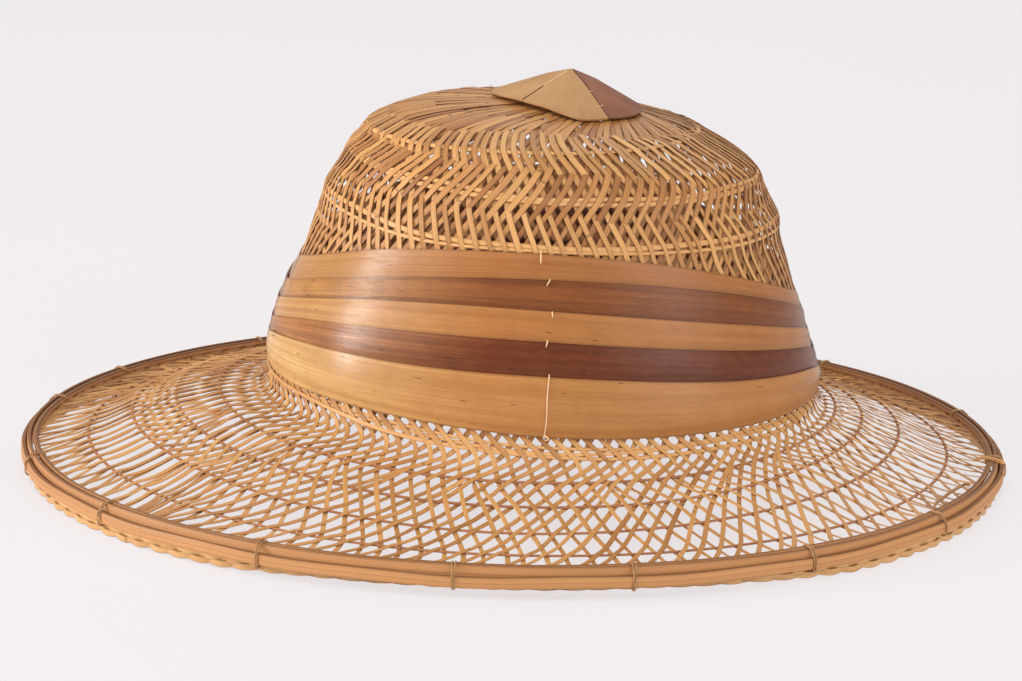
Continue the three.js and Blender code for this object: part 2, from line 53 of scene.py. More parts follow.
# Stations of the woven surface from the rim to the top, with heights above the hoops' foot.
# Columns: x at the front, x at the rear, half width, z front, z rear, z sides
STATIONS = np.array([
    [-181.6, 181.6, 156.6, 4.4, 4.4, 4.4],
    [-161.4, 165.0, 141.0, 7.5, 5.8, 5.0],
    [-144.2, 146.6, 125.5, 15.8, 14.0, 7.9],
    [-128.6, 132.4, 112.5, 21.6, 18.7, 13.0],
    [-112.6, 122.0, 101.0, 24.4, 21.6, 18.2],
    [-95.8, 116.8, 93.8, 26.7, 23.7, 24.3],
    [-92.4, 113.6, 90.2, 31.5, 29.5, 30.0],
    [-92.4, 113.0, 89.8, 38.0, 38.0, 38.0],
    [-91.2, 109.8, 88.4, 47.0, 47.0, 47.0],
    [-88.6, 106.6, 86.0, 57.0, 57.0, 57.0],
    [-84.6, 104.2, 82.8, 67.0, 67.0, 67.0],
    [-80.4, 101.4, 79.4, 77.0, 77.0, 77.0],
    [-77.3, 98.2, 76.8, 87.0, 87.0, 87.0],
    [-74.2, 96.4, 74.6, 96.5, 96.5, 96.5],
    [-70.7, 91.6, 71.2, 106.0, 106.0, 106.0],
    [-66.0, 86.8, 66.8, 114.0, 114.0, 114.0],
    [-61.5, 77.0, 60.5, 121.0, 121.0, 121.0],
    [-55.5, 62.0, 51.5, 127.6, 128.2, 127.4],
    [-43.0, 50.0, 40.0, 133.2, 131.0, 132.4],
    [-26.0, 41.0, 27.0, 136.2, 132.8, 135.4],
    [-5.0, 30.0, 14.0, 137.2, 135.0, 136.8],
    [13.5, 14.5, 0.5, 137.0, 137.0, 137.0],
])
TOP = len(STATIONS) - 1.0
CROWN_FOOT = 5.0

# Twist of the two families away from straight out, in degrees, at stations of the surface
LEFT_TWIST = (
    [0, 2, 3, 4.6, 6, 10, 13, 15, 16, 18, 21],
    [-37, -37, -38, -32, -32, -34, -35, -37, -38, -31, -31],
)
RIGHT_TWIST = (
    [0, 1, 2, 3, 4.6, 6, 8, 10, 13, 14.5, 15.6, 16.5, 21],
    [5, 7, 16, 29, 41, 42, 34, 27, 19, 18, 6, 0, 0],
)
# The same on the brim at the front and rear, where the strands change course at each cane ring,
# and the angles from the front, middle and half width, over which each of these sets in
END_KNOTS = [0.85, 1.15, 1.85, 2.15, 2.85, 3.15, 3.85, 4.6]
END_TWIST = {
    ("left", "front"): [15, -18, -18, -42, -42, 18, 18, -32],
    ("right", "front"): [52, -18, -18, 32, 32, 18, 18, 41],
    ("left", "rear"): [-48, 2, 2, -44, -44, -12, -12, -32],
    ("right", "rear"): [-15, 25, 25, 15, 15, -8, -8, 41],
}
FRONT_ZONE, REAR_ZONE = (37, 13), (154, 10)
# Lines at which the family on top changes; the left one is on top at the rim. On the brim they
# lie at stations, on the crown at heights every 30 degrees from front to rear
BRIM_SWAPS = [2.37, 3.54, 4.8]
CROWN_SWAPS = [
    [62, 61, 58, 56, 54, 51, 48],
    [93.5, 91.4, 84, 82, 79, 73, 61],
    [110, 110.2, 109.8, 107.2, 104.4, 102.4, 102],
    [125.4, 125.4, 123.6, 121.8, 118.5, 112.8, 112.5],
    [131.4, 131.4, 131.4, 131.8, 130, 128.4, 126.5],
]

# Strands of each family at the rim; of every 22, some stop at the root of the brim and more of
# them under the sheath strips, at these stations
RIM_STRANDS = 132
STRAND_CYCLE = 22
STOP_AT_ROOT = (1, 10, 19)
STOP_UNDER_SHEATH = (1, 5, 10, 14, 19)
ROOT_STOP, SHEATH_STOP = 4.0, 8.6
ROOT_STOP_PAST = 0.5
# Stations at which the strands that go on even out their spacing: middle and half width
ROOT_EVENING, SHEATH_EVENING = (3.3, 1.0), (8.5, 1.2)
# Stations under the leaf cap at which strands end in turn
END_STATIONS = (18.7, 19.6, 20.6)

# Widths of the strands, and the stations, middle and half width, over which they change
BRIM_STRAND_WIDTH = 1.7
CROWN_STRAND_WIDTH = 2.0
UPPER_STRAND_EXTRA = 0.35
TOP_STRAND_EXTRA = -0.15
CROWN_WIDENING, UPPER_WIDENING, TOP_NARROWING = (6, 1.5), (14.8, 1.0), (18.4, 0.8)
STRAND_THICKNESS = 0.42
STRAND_STATIONS = 104
TIP_LENGTH, TIP_NARROWING = 2, 0.55

# How unevenly the strands lie: sideways in millimetres, in turn about their course in radians,
# in height at the top of the crown, and in the places where they change layers
STRAND_DRIFT, RIM_DRIFT = 0.3, 0.9
WAVER_KNOTS, WAVER, TOP_WAVER = 7, 0.16, 2.2
STRAND_ROLL, CROWDED_ROLL = 0.05, 0.16
TOP_TANGLE = 0.22
SWAP_SPREAD = 0.6
WIDTH_SPREAD = 0.12
END_SPREAD = 2.5
# Stations, middle and half width, up to which the rim's drift holds, and from which the top's does
RIM_ZONE, LOOSE_TOP = (1.8, 1.8), (16, 3)
# Half length of the outline below which drift grows no more as an angle
DRIFT_REACH = 12
# Starts of the random series
SEEDS = {"left": 7, "right": 19, "canes": 31, "hoops": 5, "plait": 61, "ties": 900}

# The right-hand family leans further round the rim on the near front: by this angle, setting in
# and ending at these degrees, over the outermost stations, each a middle and half width
RIM_LEAN = 0.045
LEAN_FROM, LEAN_TO = (-128, 12), (-96, 12)
LEAN_ZONE = (1.5, 1.5)

# Heights of the two layers about the surface, the room for the canes between them, the length
# over which strands change layers and rise over a cane, and the length at the rim where both
# layers come together
LAYER_RISE = 0.25
CANE_CLEARANCE = 0.62
SWAP_HALF_LENGTH = 1.4
CANE_RAMP = 2.6
RIM_JOIN = (5, 5)

# Heights of the crown's cane rings every 30 degrees from front to rear
CROWN_CANES = {
    "crown_cane_lower": [103.5, 101.8, 98.6, 97.7, 96.6, 95.2, 94.6],
    "crown_cane_middle": [118.2, 117.8, 115.2, 112.3, 111.4, 111, 111],
    "crown_cane_top": [126.5, 126.5, 126.5, 126.5, 126.5, 126.5, 126.5],
    "junction_cane": [36.5, 34.5, 30.5, 26.6, 25.9, 27.2, 28.3],
}
# Stations of the brim's cane rings
BRIM_CANES = {"brim_cane_a": 1.0, "brim_cane_b": 2.0, "brim_cane_c": 3.0, "brim_cane_d": 4.0}
# Half of the width over which strands stay up where they pass over a ring's canes
RING_HALF_WIDTH = 0.3
WIDE_RINGS = {"crown_cane_middle": 1.6, "junction_cane": 1.2}

# Edge heights of the sheath strips every 15 degrees from front to rear
STRIP_EDGES = [
    [75.0, 79.0, 84.7, 90.0, 93.4, 95.0, 94.9, 93.1, 89.5, 84.1, 77.4, 70.5, 65.0],
    [66.0, 69.8, 75.3, 80.1, 83.7, 85.7, 86.1, 84.8, 81.9, 77.4, 71.4, 64.6, 57.4],
    [58.5, 62.8, 67.9, 72.1, 74.8, 75.9, 75.4, 73.6, 70.6, 66.7, 61.9, 56.2, 50.2],
    [51.5, 55.9, 60.3, 63.1, 64.8, 65.4, 65.0, 63.4, 60.8, 57.3, 53.2, 48.6, 43.7],
    [46.5, 50.0, 52.4, 53.6, 54.0, 54.0, 53.5, 52.0, 49.6, 46.8, 44.0, 41.0, 37.2],
    [40.0, 37.6, 36.6, 36.2, 35.4, 34.0, 32.4, 31.4, 30.9, 30.4, 30.2, 30.6, 31.0],
]

# Plaited edge, columns: angle from the front in degrees, inset, height of its underside
BRAID_TABLE = [
    [0, 1.6, -1.8], [15, 1.2, -3.0], [27, 1.0, -4.0], [45, 1.0, -4.0], [58, 1.4, -3.4],
    [68, 3.0, -2.0], [80, 4.9, -1.8], [105, 4.9, -1.8], [118, 2.6, -2.4], [130, 1.0, -4.0],
    [150, 1.0, -4.0], [165, 1.2, -3.0], [180, 1.6, -1.8],
]
TIE_ANGLES = [
    -163.8, -140.8, -117.5, -95.9, -77, -56.1, -34.4, -6.9,
    15.5, 45, 74, 100, 126, 150.9, 167.7,
]

# Leaf cap, columns: angle in degrees, radius of the fold, its height, radius of the rim
CAP_CENTRE = (18.5, 0.0)
CAP_APEX_HEIGHT = 147.3
CAP_TABLE = [
    [-180, 9.0, 145.4, 29.5], [-156, 9.0, 145.2, 27.5], [-132, 9.0, 144.9, 27.0],
    [-108, 9.0, 144.6, 27.5], [-84, 9.5, 144.2, 31.5], [-61.6, 9.5, 143.9, 28.5],
    [-36, 9.5, 143.6, 27.5], [0, 9.0, 143.6, 25.8], [36, 9.5, 143.6, 27.5],
    [61.6, 9.5, 143.9, 28.5], [84, 9.5, 144.2, 31.5], [108, 9.0, 144.6, 27.5],
    [132, 9.0, 144.9, 27.0], [156, 9.0, 145.2, 27.5], [180, 9.0, 145.4, 29.5],
]
CAP_PANELS = {
    "cap_leaf_near": (-132, -61.6),
    "cap_leaf_rear": (-61.6, 61.6),
    "cap_leaf_far": (61.6, 132),
    "cap_leaf_front": (132, 228),
}


# The woven surface

# Steps of a search by halving, the station from which the top is searched, and the share of a
# station over which directions are measured
HALVINGS = 26
TOP_SEARCH_FROM = 15.0
SURFACE_STEP = 0.04


def curve_between(before, first, second, after, part):
    """Smooth curve between the middle two of four even values, at a part of the way."""
    slope_a, slope_b = (second - before) / 2, (after - first) / 2
    square, cube = part ** 2, part ** 3
    return ((2 * cube - 3 * square + 1) * first + (cube - 2 * square + part) * slope_a
            + (3 * square - 2 * cube) * second + (cube - square) * slope_b)


def station_values(t):
    """The six station values at places between stations, on a smooth curve through them."""
    t = np.clip(np.asarray(t, float), 0, TOP)
    low = np.minimum(t.astype(int), len(STATIONS) - 2)
    before = STATIONS[np.maximum(low - 1, 0)]
    after = STATIONS[np.minimum(low + 2, len(STATIONS) - 1)]
    return curve_between(before, STATIONS[low], STATIONS[low + 1], after, (t - low)[..., None])


def surface(t, angle):
    """Points of the woven surface in millimetres; angle 0 is the rear, near side negative."""
    front, rear, width, z_front, z_rear, z_side = np.moveaxis(station_values(t), -1, 0)
    cosine = np.cos(angle)
    z = ((z_front + z_rear) / 4 + z_side / 2 + (z_rear - z_front) / 2 * cosine
         + ((z_front + z_rear) / 2 - z_side) / 2 * np.cos(2 * angle))
    x = (front + rear) / 2 + (rear - front) / 2 * cosine
    return np.stack([x, width * np.sin(angle), z + HOOP_LIFT], -1)


def unit(vectors):
    return vectors / np.maximum(np.linalg.norm(vectors, axis=-1, keepdims=True), 1e-9)


def surface_frame(t, angle):
    """Directions on the surface: up its meridian, and outward."""
    above, below = np.minimum(t + SURFACE_STEP, TOP), np.maximum(t - SURFACE_STEP, 0)
    up = surface(above, angle) - surface(below, angle)
    around = surface(t, angle + SURFACE_STEP) - surface(t, angle - SURFACE_STEP)
    return unit(up), unit(np.cross(around, up))


def station_at_height(height, angle):
    """Station at which the crown reaches a height above the hoops' foot."""
    height, angle = np.broadcast_arrays(np.asarray(height, float), np.asarray(angle, float))
    low, high = np.full(height.shape, CROWN_FOOT), np.full(height.shape, TOP)
    for _ in range(HALVINGS):
        middle = (low + high) / 2
        below = surface(middle, angle)[..., 2] - HOOP_LIFT < height
        low, high = np.where(below, middle, low), np.where(below, high, middle)
    return (low + high) / 2


def station_over(x, y):
    """Station and angle of the surface above a place in plan, near the top."""
    low, high = np.full(np.shape(x), TOP_SEARCH_FROM), np.full(np.shape(x), TOP)
    for _ in range(HALVINGS):
        middle = (low + high) / 2
        front, rear, width = np.moveaxis(station_values(middle)[..., :3], -1, 0)
        outside = np.hypot((x - (front + rear) / 2) / (rear - front) * 2, y / width) > 1
        low, high = np.where(outside, low, middle), np.where(outside, middle, high)
    front, rear, width = np.moveaxis(station_values(low)[..., :3], -1, 0)
    return low, np.arctan2(y / width, (x - (front + rear) / 2) / (rear - front) * 2)


def from_front(angle):
    """Angle from the front, 0 to 180 degrees, the same on both sides."""
    return np.degrees(np.arccos(np.clip(-np.cos(angle), -1, 1)))


def smooth_spread(values, angle):
    """Value at an angle from a list spread evenly from front to rear, on a smooth curve."""
    values = np.asarray(values, float)
    padded = np.concatenate([values[1:2], values, values[-2:-1]])
    place = from_front(angle) / 180 * (len(values) - 1)
    low = np.minimum(place.astype(int), len(values) - 2)
    return curve_between(*(padded[low + k] for k in range(4)), place - low)


# Length along a meridian of the near side, and the half length of the outline there, which is
# kept from being too small to divide by
FINE_PLACES = 600
SMALLEST_REACH = 4
FINE = np.linspace(0, TOP, FINE_PLACES)
NEAR_LINE = surface(FINE, np.full(FINE_PLACES, -math.pi / 2))
LENGTHS = np.concatenate([[0], np.cumsum(np.linalg.norm(np.diff(NEAR_LINE, axis=0), axis=1))])
REACH = (station_values(FINE)[:, 1] - station_values(FINE)[:, 0]) / 2


def turn_of(twist):
    """Angle that a strand has turned through at each place of FINE, from its twist."""
    slope = np.tan(np.radians(np.interp(FINE, *twist)))
    per_length = slope / np.maximum(REACH, SMALLEST_REACH)
    steps = np.diff(LENGTHS) * (per_length[1:] + per_length[:-1]) / 2
    return np.concatenate([[0], -np.cumsum(steps)])


TWISTS = {"left": LEFT_TWIST, "right": RIGHT_TWIST}
TURNS = {family: turn_of(twist) for family, twist in TWISTS.items()}


def end_shift(family, end):
    """Angle that a strand at the front or rear lies away from its usual course, over FINE."""
    shift = turn_of((END_KNOTS, END_TWIST[family, end])) - TURNS[family]
    shift = np.interp(np.minimum(FINE, END_KNOTS[-1]), FINE, shift)
    return shift - shift[-1]


END_SHIFTS = {pair: end_shift(*pair) for pair in END_TWIST}


def length_at(t):
    return np.interp(t, FINE, LENGTHS)


def step_between(value, edge, half_width):
    """Smooth step from 0 to 1 across an edge."""
    part = np.clip((value - edge) / (2 * half_width) + 0.5, 0, 1)
    return part * part * (3 - 2 * part)


ANGLES = np.radians(np.arange(-180, 181, 3.0))


def line_of(heights):
    """Lengths up the meridians of a line given by its heights, at each of ANGLES."""
    return length_at(station_at_height(smooth_spread(heights, ANGLES), ANGLES))


def on_line(line, angle):
    return np.interp((angle + math.pi) % (2 * math.pi) - math.pi, ANGLES, line)


SWAP_LINES = [np.full(len(ANGLES), length_at(t)) for t in BRIM_SWAPS]
SWAP_LINES += [line_of(heights) for heights in CROWN_SWAPS]
CANE_LINES = [
    (np.full(len(ANGLES), length_at(t)), RING_HALF_WIDTH) for t in BRIM_CANES.values()
]
CANE_LINES += [
    (line_of(heights), WIDE_RINGS.get(name, RING_HALF_WIDTH))
    for name, heights in CROWN_CANES.items()
]


def right_on_top(along, angle, shift):
    """1 where the right-hand family lies on top, 0 where it lies below."""
    total = 0
    for index, line in enumerate(SWAP_LINES):
        sign = 1 if index % 2 == 0 else -1
        total = total + sign * step_between(along, on_line(line, angle) + shift, SWAP_HALF_LENGTH)
    return total


def cane_bump(along, angle):
    """1 where a strand passes over a cane ring, falling to 0 a few millimetres away."""
    bump = np.zeros(np.shape(along))
    for line, half in CANE_LINES:
        away = np.maximum(np.abs(along - on_line(line, angle)) - half, 0)
        bump = np.maximum(bump, np.exp(-(away / CANE_RAMP) ** 2))
    return bump


# Meshes from bmesh operators

# Units of the UV map per millimetre along a run, the radius of a ring template's section about
# its circle of 1, and the angles past which an edge is sharp
LOOKUP_SCALE = 0.01
RING_SECTION = 0.2
SWEPT_SHARP_ANGLE = math.radians(35)
SHEET_SHARP_ANGLE = math.radians(40)


def mesh_from(bm, name):
    mesh = bpy.data.meshes.new(name)
    bm.to_mesh(mesh)
    bm.free()
    return mesh


def rod_template(corners, stations):
    """A capped rod; gives its mesh, and the station and corner of each of its vertices."""
    bm = bmesh.new()
    bmesh.ops.create_cone(bm, cap_ends=True, segments=corners, radius1=1, radius2=1, depth=2)
    long_edges = [e for e in bm.edges if abs(e.verts[0].co.z - e.verts[1].co.z) > 1]
    bmesh.ops.subdivide_edges(bm, edges=long_edges, cuts=stations - 2, use_grid_fill=True)
    bm.normal_update()
    places = np.array([v.co[:] for v in bm.verts])
    station = np.rint((places[:, 2] + 1) / 2 * (stations - 1)).astype(int)
    turn = np.arctan2(places[:, 1], places[:, 0]) / (2 * math.pi) * corners
    return mesh_from(bm, "rod"), station, np.rint(turn).astype(int) % corners


def ring_template(corners, stations):
    """A closed ring, given as a rod is."""
    bm = bmesh.new()
    profile = bmesh.ops.create_circle(bm, segments=corners, radius=RING_SECTION)["verts"]
    upright = Matrix.Rotation(math.pi / 2, 3, "X")
    bmesh.ops.rotate(bm, verts=profile, cent=(0, 0, 0), matrix=upright)
    bmesh.ops.translate(bm, verts=profile, vec=(1, 0, 0))
    bmesh.ops.spin(bm, geom=bm.verts[:] + bm.edges[:], cent=(0, 0, 0), axis=(0, 0, 1),
                   angle=2 * math.pi, steps=stations, use_merge=True)
    bmesh.ops.recalc_face_normals(bm, faces=bm.faces[:])
    places = np.array([v.co[:] for v in bm.verts])
    around = np.arctan2(places[:, 1], places[:, 0]) / (2 * math.pi) * stations
    outward = np.hypot(places[:, 0], places[:, 1]) - 1
    turn = np.arctan2(places[:, 2], -outward) / (2 * math.pi) * corners
    return (mesh_from(bm, "ring"), np.rint(around).astype(int) % stations,
            np.rint(turn).astype(int) % corners)


def swept(name, template, runs, profile, cross):
    """One mesh from a template bent along many runs.
    runs: (points, sides, normals, widths, heights, lengths) for each; profile: corner places as
    shares of half the width and of the height; cross: place of each corner across the strip."""
    base, station, corner = template
    bm = bmesh.new()
    for _ in runs:
        bm.from_mesh(base)
    mesh = mesh_from(bm, name)
    shares = np.asarray(profile, float)[corner]
    across = np.asarray(cross, float)[corner]
    places, lookups = [], []
    for index, (points, sides, normals, widths, heights, lengths) in enumerate(runs):
        offset_side = sides[station] * (widths[station] / 2 * shares[:, 0])[:, None]
        offset_up = normals[station] * (heights[station] * shares[:, 1])[:, None]
        places.append(points[station] + offset_side + offset_up)
        lookups.append(np.stack([lengths[station] * LOOKUP_SCALE, index + across], 1))
    mesh.vertices.foreach_set("co", (np.concatenate(places) * MM).ravel())
    set_lookup(mesh, np.concatenate(lookups))
    mesh.update()
    mesh.shade_smooth()
    mesh.set_sharp_from_angle(angle=SWEPT_SHARP_ANGLE)
    return mesh


def set_lookup(mesh, per_vertex):
    """Keeps a pair of numbers per vertex as the mesh's UV map."""
    layer = mesh.uv_layers.new(name="UVMap")
    corners = np.empty(len(mesh.loops), int)
    mesh.loops.foreach_get("vertex_index", corners)
    layer.data.foreach_set("uv", per_vertex[corners].ravel())


def run_along(points, normals, widths, heights, closed=False, roll=0.0):
    """Frames of a run: sides square to its course and its normals."""
    if closed:
        course = unit(np.roll(points, -1, 0) - np.roll(points, 1, 0))
    else:
        course = unit(np.gradient(points, axis=0))
    sides = unit(np.cross(normals, course))
    normals = unit(np.cross(course, sides))
    if np.any(roll):
        roll = np.broadcast_to(roll, len(points))[:, None]
        sides, normals = (sides * np.cos(roll) + normals * np.sin(roll),
                          normals * np.cos(roll) - sides * np.sin(roll))
    steps = np.linalg.norm(np.diff(points, axis=0), axis=1)
    lengths = np.concatenate([[0], np.cumsum(steps)])
    return (points, sides, normals, np.broadcast_to(widths, len(points)),
            np.broadcast_to(heights, len(points)), lengths)


def slow_noise(source, count, places, size):
    """Smooth random values along a run."""
    knots = np.array([source.gauss(0, size) for _ in range(count)])
    place = np.asarray(places) * (count - 1)
    low = np.clip(place.astype(int), 0, count - 2)
    part = place - low
    part = part * part * (3 - 2 * part)
    return knots[low] * (1 - part) + knots[low + 1] * part


def piece(name, mesh, material, replaced):
    """A visible piece on the hat, in place of the solids whose names it replaces."""
    thing = bpy.data.objects.new(name, mesh)
    bpy.context.scene.collection.objects.link(thing)
    thing.data.materials.clear()
    thing.data.materials.append(material)
    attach(thing, "root")
    if replaced:
        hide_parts(*replaced)


# Shader expressions

def tone(red, green, blue):
    """Linear colour from the usual 8-bit one."""
    def linear(value):
        value /= 255
        return value / 12.92 if value <= 0.04045 else ((value + 0.055) / 1.055) ** 2.4
    return (linear(red), linear(green), linear(blue), 1.0)


class Signal:
    """A socket that can be used in sums."""

    def __init__(self, finish, socket):
        self.finish = finish
        self.socket = socket

    def math(self, operation, *values):
        settings = {"operation": operation}
        node = self.finish.node("ShaderNodeMath", settings, dict(enumerate(values)))
        return Signal(self.finish, node.outputs[0])

    def __add__(self, other):
        return self.math("ADD", self, other)

    __radd__ = __add__

    def __sub__(self, other):
        return self.math("SUBTRACT", self, other)

    def __rsub__(self, other):
        return self.math("SUBTRACT", other, self)

    def __mul__(self, other):
        return self.math("MULTIPLY", self, other)

    __rmul__ = __mul__

    def __truediv__(self, other):
        return self.math("DIVIDE", self, other)

    def above(self, edge, softness):
        """0 below an edge and 1 above it, over a soft width."""
        return ((self - (edge - softness / 2)) / softness).clamped()

    def below(self, edge, softness):
        return 1 - self.above(edge, softness)

    def clamped(self):
        return self.math("MINIMUM", self.math("MAXIMUM", self, 0.0), 1.0)

    def floor(self):
        return self.math("FLOOR", self)

    def fraction(self):
        return self.math("FRACT", self)

    def absolute(self):
        return self.math("ABSOLUTE", self)


class Finish:
    """A node material with one Principled shader."""

    def __init__(self, name, roughness=0.5, **constants):
        self.material = bpy.data.materials.new(name)
        self.material.use_nodes = True
        self.tree = self.material.node_tree
        self.shader = self.tree.nodes["Principled BSDF"]
        self.shader.inputs["Roughness"].default_value = roughness
        for socket, value in constants.items():
            self.shader.inputs[socket.replace("_", " ")].default_value = value

    def node(self, kind, settings=None, values=None):
        made = self.tree.nodes.new(kind)
        for key, value in (settings or {}).items():
            if key == "stops":
                self.set_stops(made.color_ramp, value)
            else:
                setattr(made, key, value)
        for key, value in (values or {}).items():
            self.feed(made.inputs[key], value)
        return made

    def set_stops(self, ramp, stops):
        while len(ramp.elements) < len(stops):
            ramp.elements.new(0.5)
        for element, (place, colour) in zip(ramp.elements, stops):
            element.position = place
            element.color = colour

    def feed(self, socket, value):
        if isinstance(value, Signal):
            self.tree.links.new(value.socket, socket)
        else:
            socket.default_value = value

    def signal(self, node, output=0):
        return Signal(self, node.outputs[output])

    def lookup(self):
        """Along and across values of the piece's UV map."""
        node = self.node("ShaderNodeUVMap", {"uv_map": "UVMap"})
        parts = self.node("ShaderNodeSeparateXYZ", values={0: self.signal(node)})
        return self.signal(parts, 0), self.signal(parts, 1)

    def place(self):
        node = self.node("ShaderNodeTexCoord")
        return self.signal(node, "Object")

    def height(self):
        return self.signal(self.node("ShaderNodeSeparateXYZ", values={0: self.place()}), 2)

    def vector(self, x=0.0, y=0.0, z=0.0):
        return self.signal(self.node("ShaderNodeCombineXYZ", values={0: x, 1: y, 2: z}))

    def noise(self, vector, scale, detail=2.0, roughness=0.5):
        values = {"Vector": vector, "Scale": scale, "Detail": detail, "Roughness": roughness}
        return self.signal(self.node("ShaderNodeTexNoise", values=values))

    def chance(self, value):
        """A random number for each value."""
        node = self.node("ShaderNodeTexWhiteNoise", {"noise_dimensions": "1D"}, {"W": value})
        return self.signal(node, "Value")

    def ramp(self, value, *stops):
        node = self.node("ShaderNodeValToRGB", {"stops": stops}, {0: value})
        return self.signal(node, "Color")

    def mix(self, share, first, second, blend="MIX"):
        node = self.node("ShaderNodeMix", {"data_type": "RGBA", "blend_type": blend})
        sockets = {s.identifier: s for s in node.inputs}
        self.feed(sockets["Factor_Float"], share)
        self.feed(sockets["A_Color"], first)
        self.feed(sockets["B_Color"], second)
        output = next(s for s in node.outputs if s.identifier == "Result_Color")
        return Signal(self, output)

    def bump(self, height, strength, distance):
        values = {"Height": height, "Strength": strength, "Distance": distance}
        node = self.node("ShaderNodeBump", values=values)
        self.feed(self.shader.inputs["Normal"], self.signal(node))

    def colour(self, value):
        self.feed(self.shader.inputs["Base Color"], value)

    def rough(self, value):
        self.feed(self.shader.inputs["Roughness"], value)


# Height, with its softness, below which the brim's strands are paler, and by how much
BRIM_TOP, BRIM_SOFTNESS = 0.032, 0.012
BRIM_PALENESS = 0.45
# Half width and softness of the line at a node of the bamboo, as shares of a node's length
NODE_LINE = (0.0022, 0.002)


def bamboo(name, light, middle, dark, edge, grain=0.5, edge_shade=0.65, nodes=0.45, run=1.0,
           brim_paling=0.0, roughness=0.42):
    """Split bamboo: long fibres, a tone of its own for each strand, dark lines, and painted shade
    along the edges.
    grain, edge_shade, nodes: strength of the dark streaks, of the painted shade at the edges and of
    the node lines;
    run: how quickly patterns change lengthwise; brim_paling: how much the brim's strands are paler."""
    finish = Finish(name, roughness, Specular_IOR_Level=0.32)
    along, across = finish.lookup()
    strand = across.floor()
    own = finish.chance(strand + 0.37)
    other = finish.chance(strand * 1.7 + 11.3)
    from_middle = (across.fraction() - 0.5).absolute()
    length = along * run
    fibres = finish.noise(finish.vector(length * 2.2, across * 46.0, strand * 0.73), 1.0, 3.0, 0.6)
    slow = finish.noise(finish.vector(length * 1.3, strand * 3.1, 0.5), 1.0, 2.0, 0.5)
    streak = finish.noise(finish.vector(length * 0.7, across * 21.0, strand * 2.9), 1.0, 2.0, 0.5)
    cloud = finish.noise(finish.place(), 14.0, 2.0, 0.5)

    level = own * 0.44 + slow * 0.5 + cloud * 0.14 + fibres * 0.3 - 0.2
    colour = finish.ramp(level, (0.12, dark), (0.42, middle), (0.78, light))
    node_place = (along * 0.42 + other * 5.0).fraction()
    node_line = (node_place - 0.5).absolute().below(*NODE_LINE)
    # Paler below a height, on the brim, where the painted edge shade is also faded out
    brim = finish.height().below(BRIM_TOP, BRIM_SOFTNESS) * brim_paling
    # The edge colour serves the node lines, the dark streaks and the painted shade at the edges
    colour = finish.mix(node_line * nodes, colour, edge)
    # Painted shade: each strand darkens towards its edges
    colour = finish.mix(from_middle.above(0.36, 0.12) * edge_shade * (1 - brim), colour, edge)
    colour = finish.mix(streak.above(0.6, 0.12) * grain, colour, edge)
    finish.colour(finish.mix(brim * BRIM_PALENESS, colour, light))
    finish.rough((roughness - 0.08) + fibres * 0.16 + cloud.above(0.6, 0.2) * 0.08)
    finish.bump(fibres * 0.7 + node_line * 0.8, 0.35, 0.0003)
    return finish.material


WEAVE_TOP = bamboo(
    "split_bamboo_light", tone(220, 165, 101), tone(194, 138, 80), tone(154, 98, 50),
    tone(78, 40, 18), brim_paling=0.55)
# Painted shade: the left family's finish is a darker copy of the one above, for strands seen under
# the other family
WEAVE_UNDER = bamboo(
    "split_bamboo_shaded_warm", tone(210, 154, 92), tone(184, 126, 72), tone(142, 87, 45),
    tone(74, 38, 18), brim_paling=0.55)
CANE = bamboo(
    "cane", tone(224, 170, 108), tone(200, 142, 86), tone(156, 98, 54), tone(100, 54, 26))
RING = bamboo(
    "thin_cane", tone(176, 116, 74), tone(148, 92, 58), tone(110, 64, 38), tone(74, 40, 24))
HOOP = bamboo(
    "hoop_bamboo", tone(198, 140, 88), tone(170, 112, 66), tone(120, 72, 38), tone(80, 44, 22),
    grain=0.8, nodes=0.08, run=0.18, roughness=0.55)
BRAID = bamboo(
    "plait", tone(220, 168, 110), tone(194, 140, 86), tone(148, 94, 52), tone(90, 50, 26))


# The weave

# Corners of a flat strip's section, as shares of half its width and of its thickness, and the
# place of each across the strip in its UV map
STRIP_PROFILE = [(1, -0.5), (1, 0.1), (0.74, 0.5), (-0.74, 0.5), (-1, 0.1), (-1, -0.5)]
STRIP_CROSS = [0.97, 0.92, 0.84, 0.16, 0.08, 0.03]


def even_places(kept):
    """Even shares of the whole turn for the strands that go on, with no shift on the whole."""
    shares = np.arange(len(kept)) / len(kept)
    shares -= np.mean(shares - np.array(kept) / RIM_STRANDS)
    return dict(zip(kept, shares))


def strands_past(stopped):
    """Places of the strands that go on where some of each cycle stop."""
    return even_places([k for k in range(RIM_STRANDS) if k % STRAND_CYCLE not in stopped])


AT_ROOT = strands_past(STOP_AT_ROOT)
ON_CROWN = strands_past(STOP_UNDER_SHEATH)


def strand_end(index, source):
    """Length at which a strand ends."""
    if index not in AT_ROOT:
        return length_at(ROOT_STOP) + ROOT_STOP_PAST
    if index not in ON_CROWN:
        return length_at(SHEATH_STOP)
    order = list(ON_CROWN).index(index)
    station = END_STATIONS[0] if order % 2 else END_STATIONS[1 + order % 4 // 2]
    return length_at(station) + source.uniform(-END_SPREAD, END_SPREAD)


def rim_lean(angle):
    """1 on the near front of the rim, falling to 0 at its sides."""
    place = np.degrees((angle + math.pi) % (2 * math.pi) - math.pi)
    return step_between(place, *LEAN_FROM) - step_between(place, *LEAN_TO)


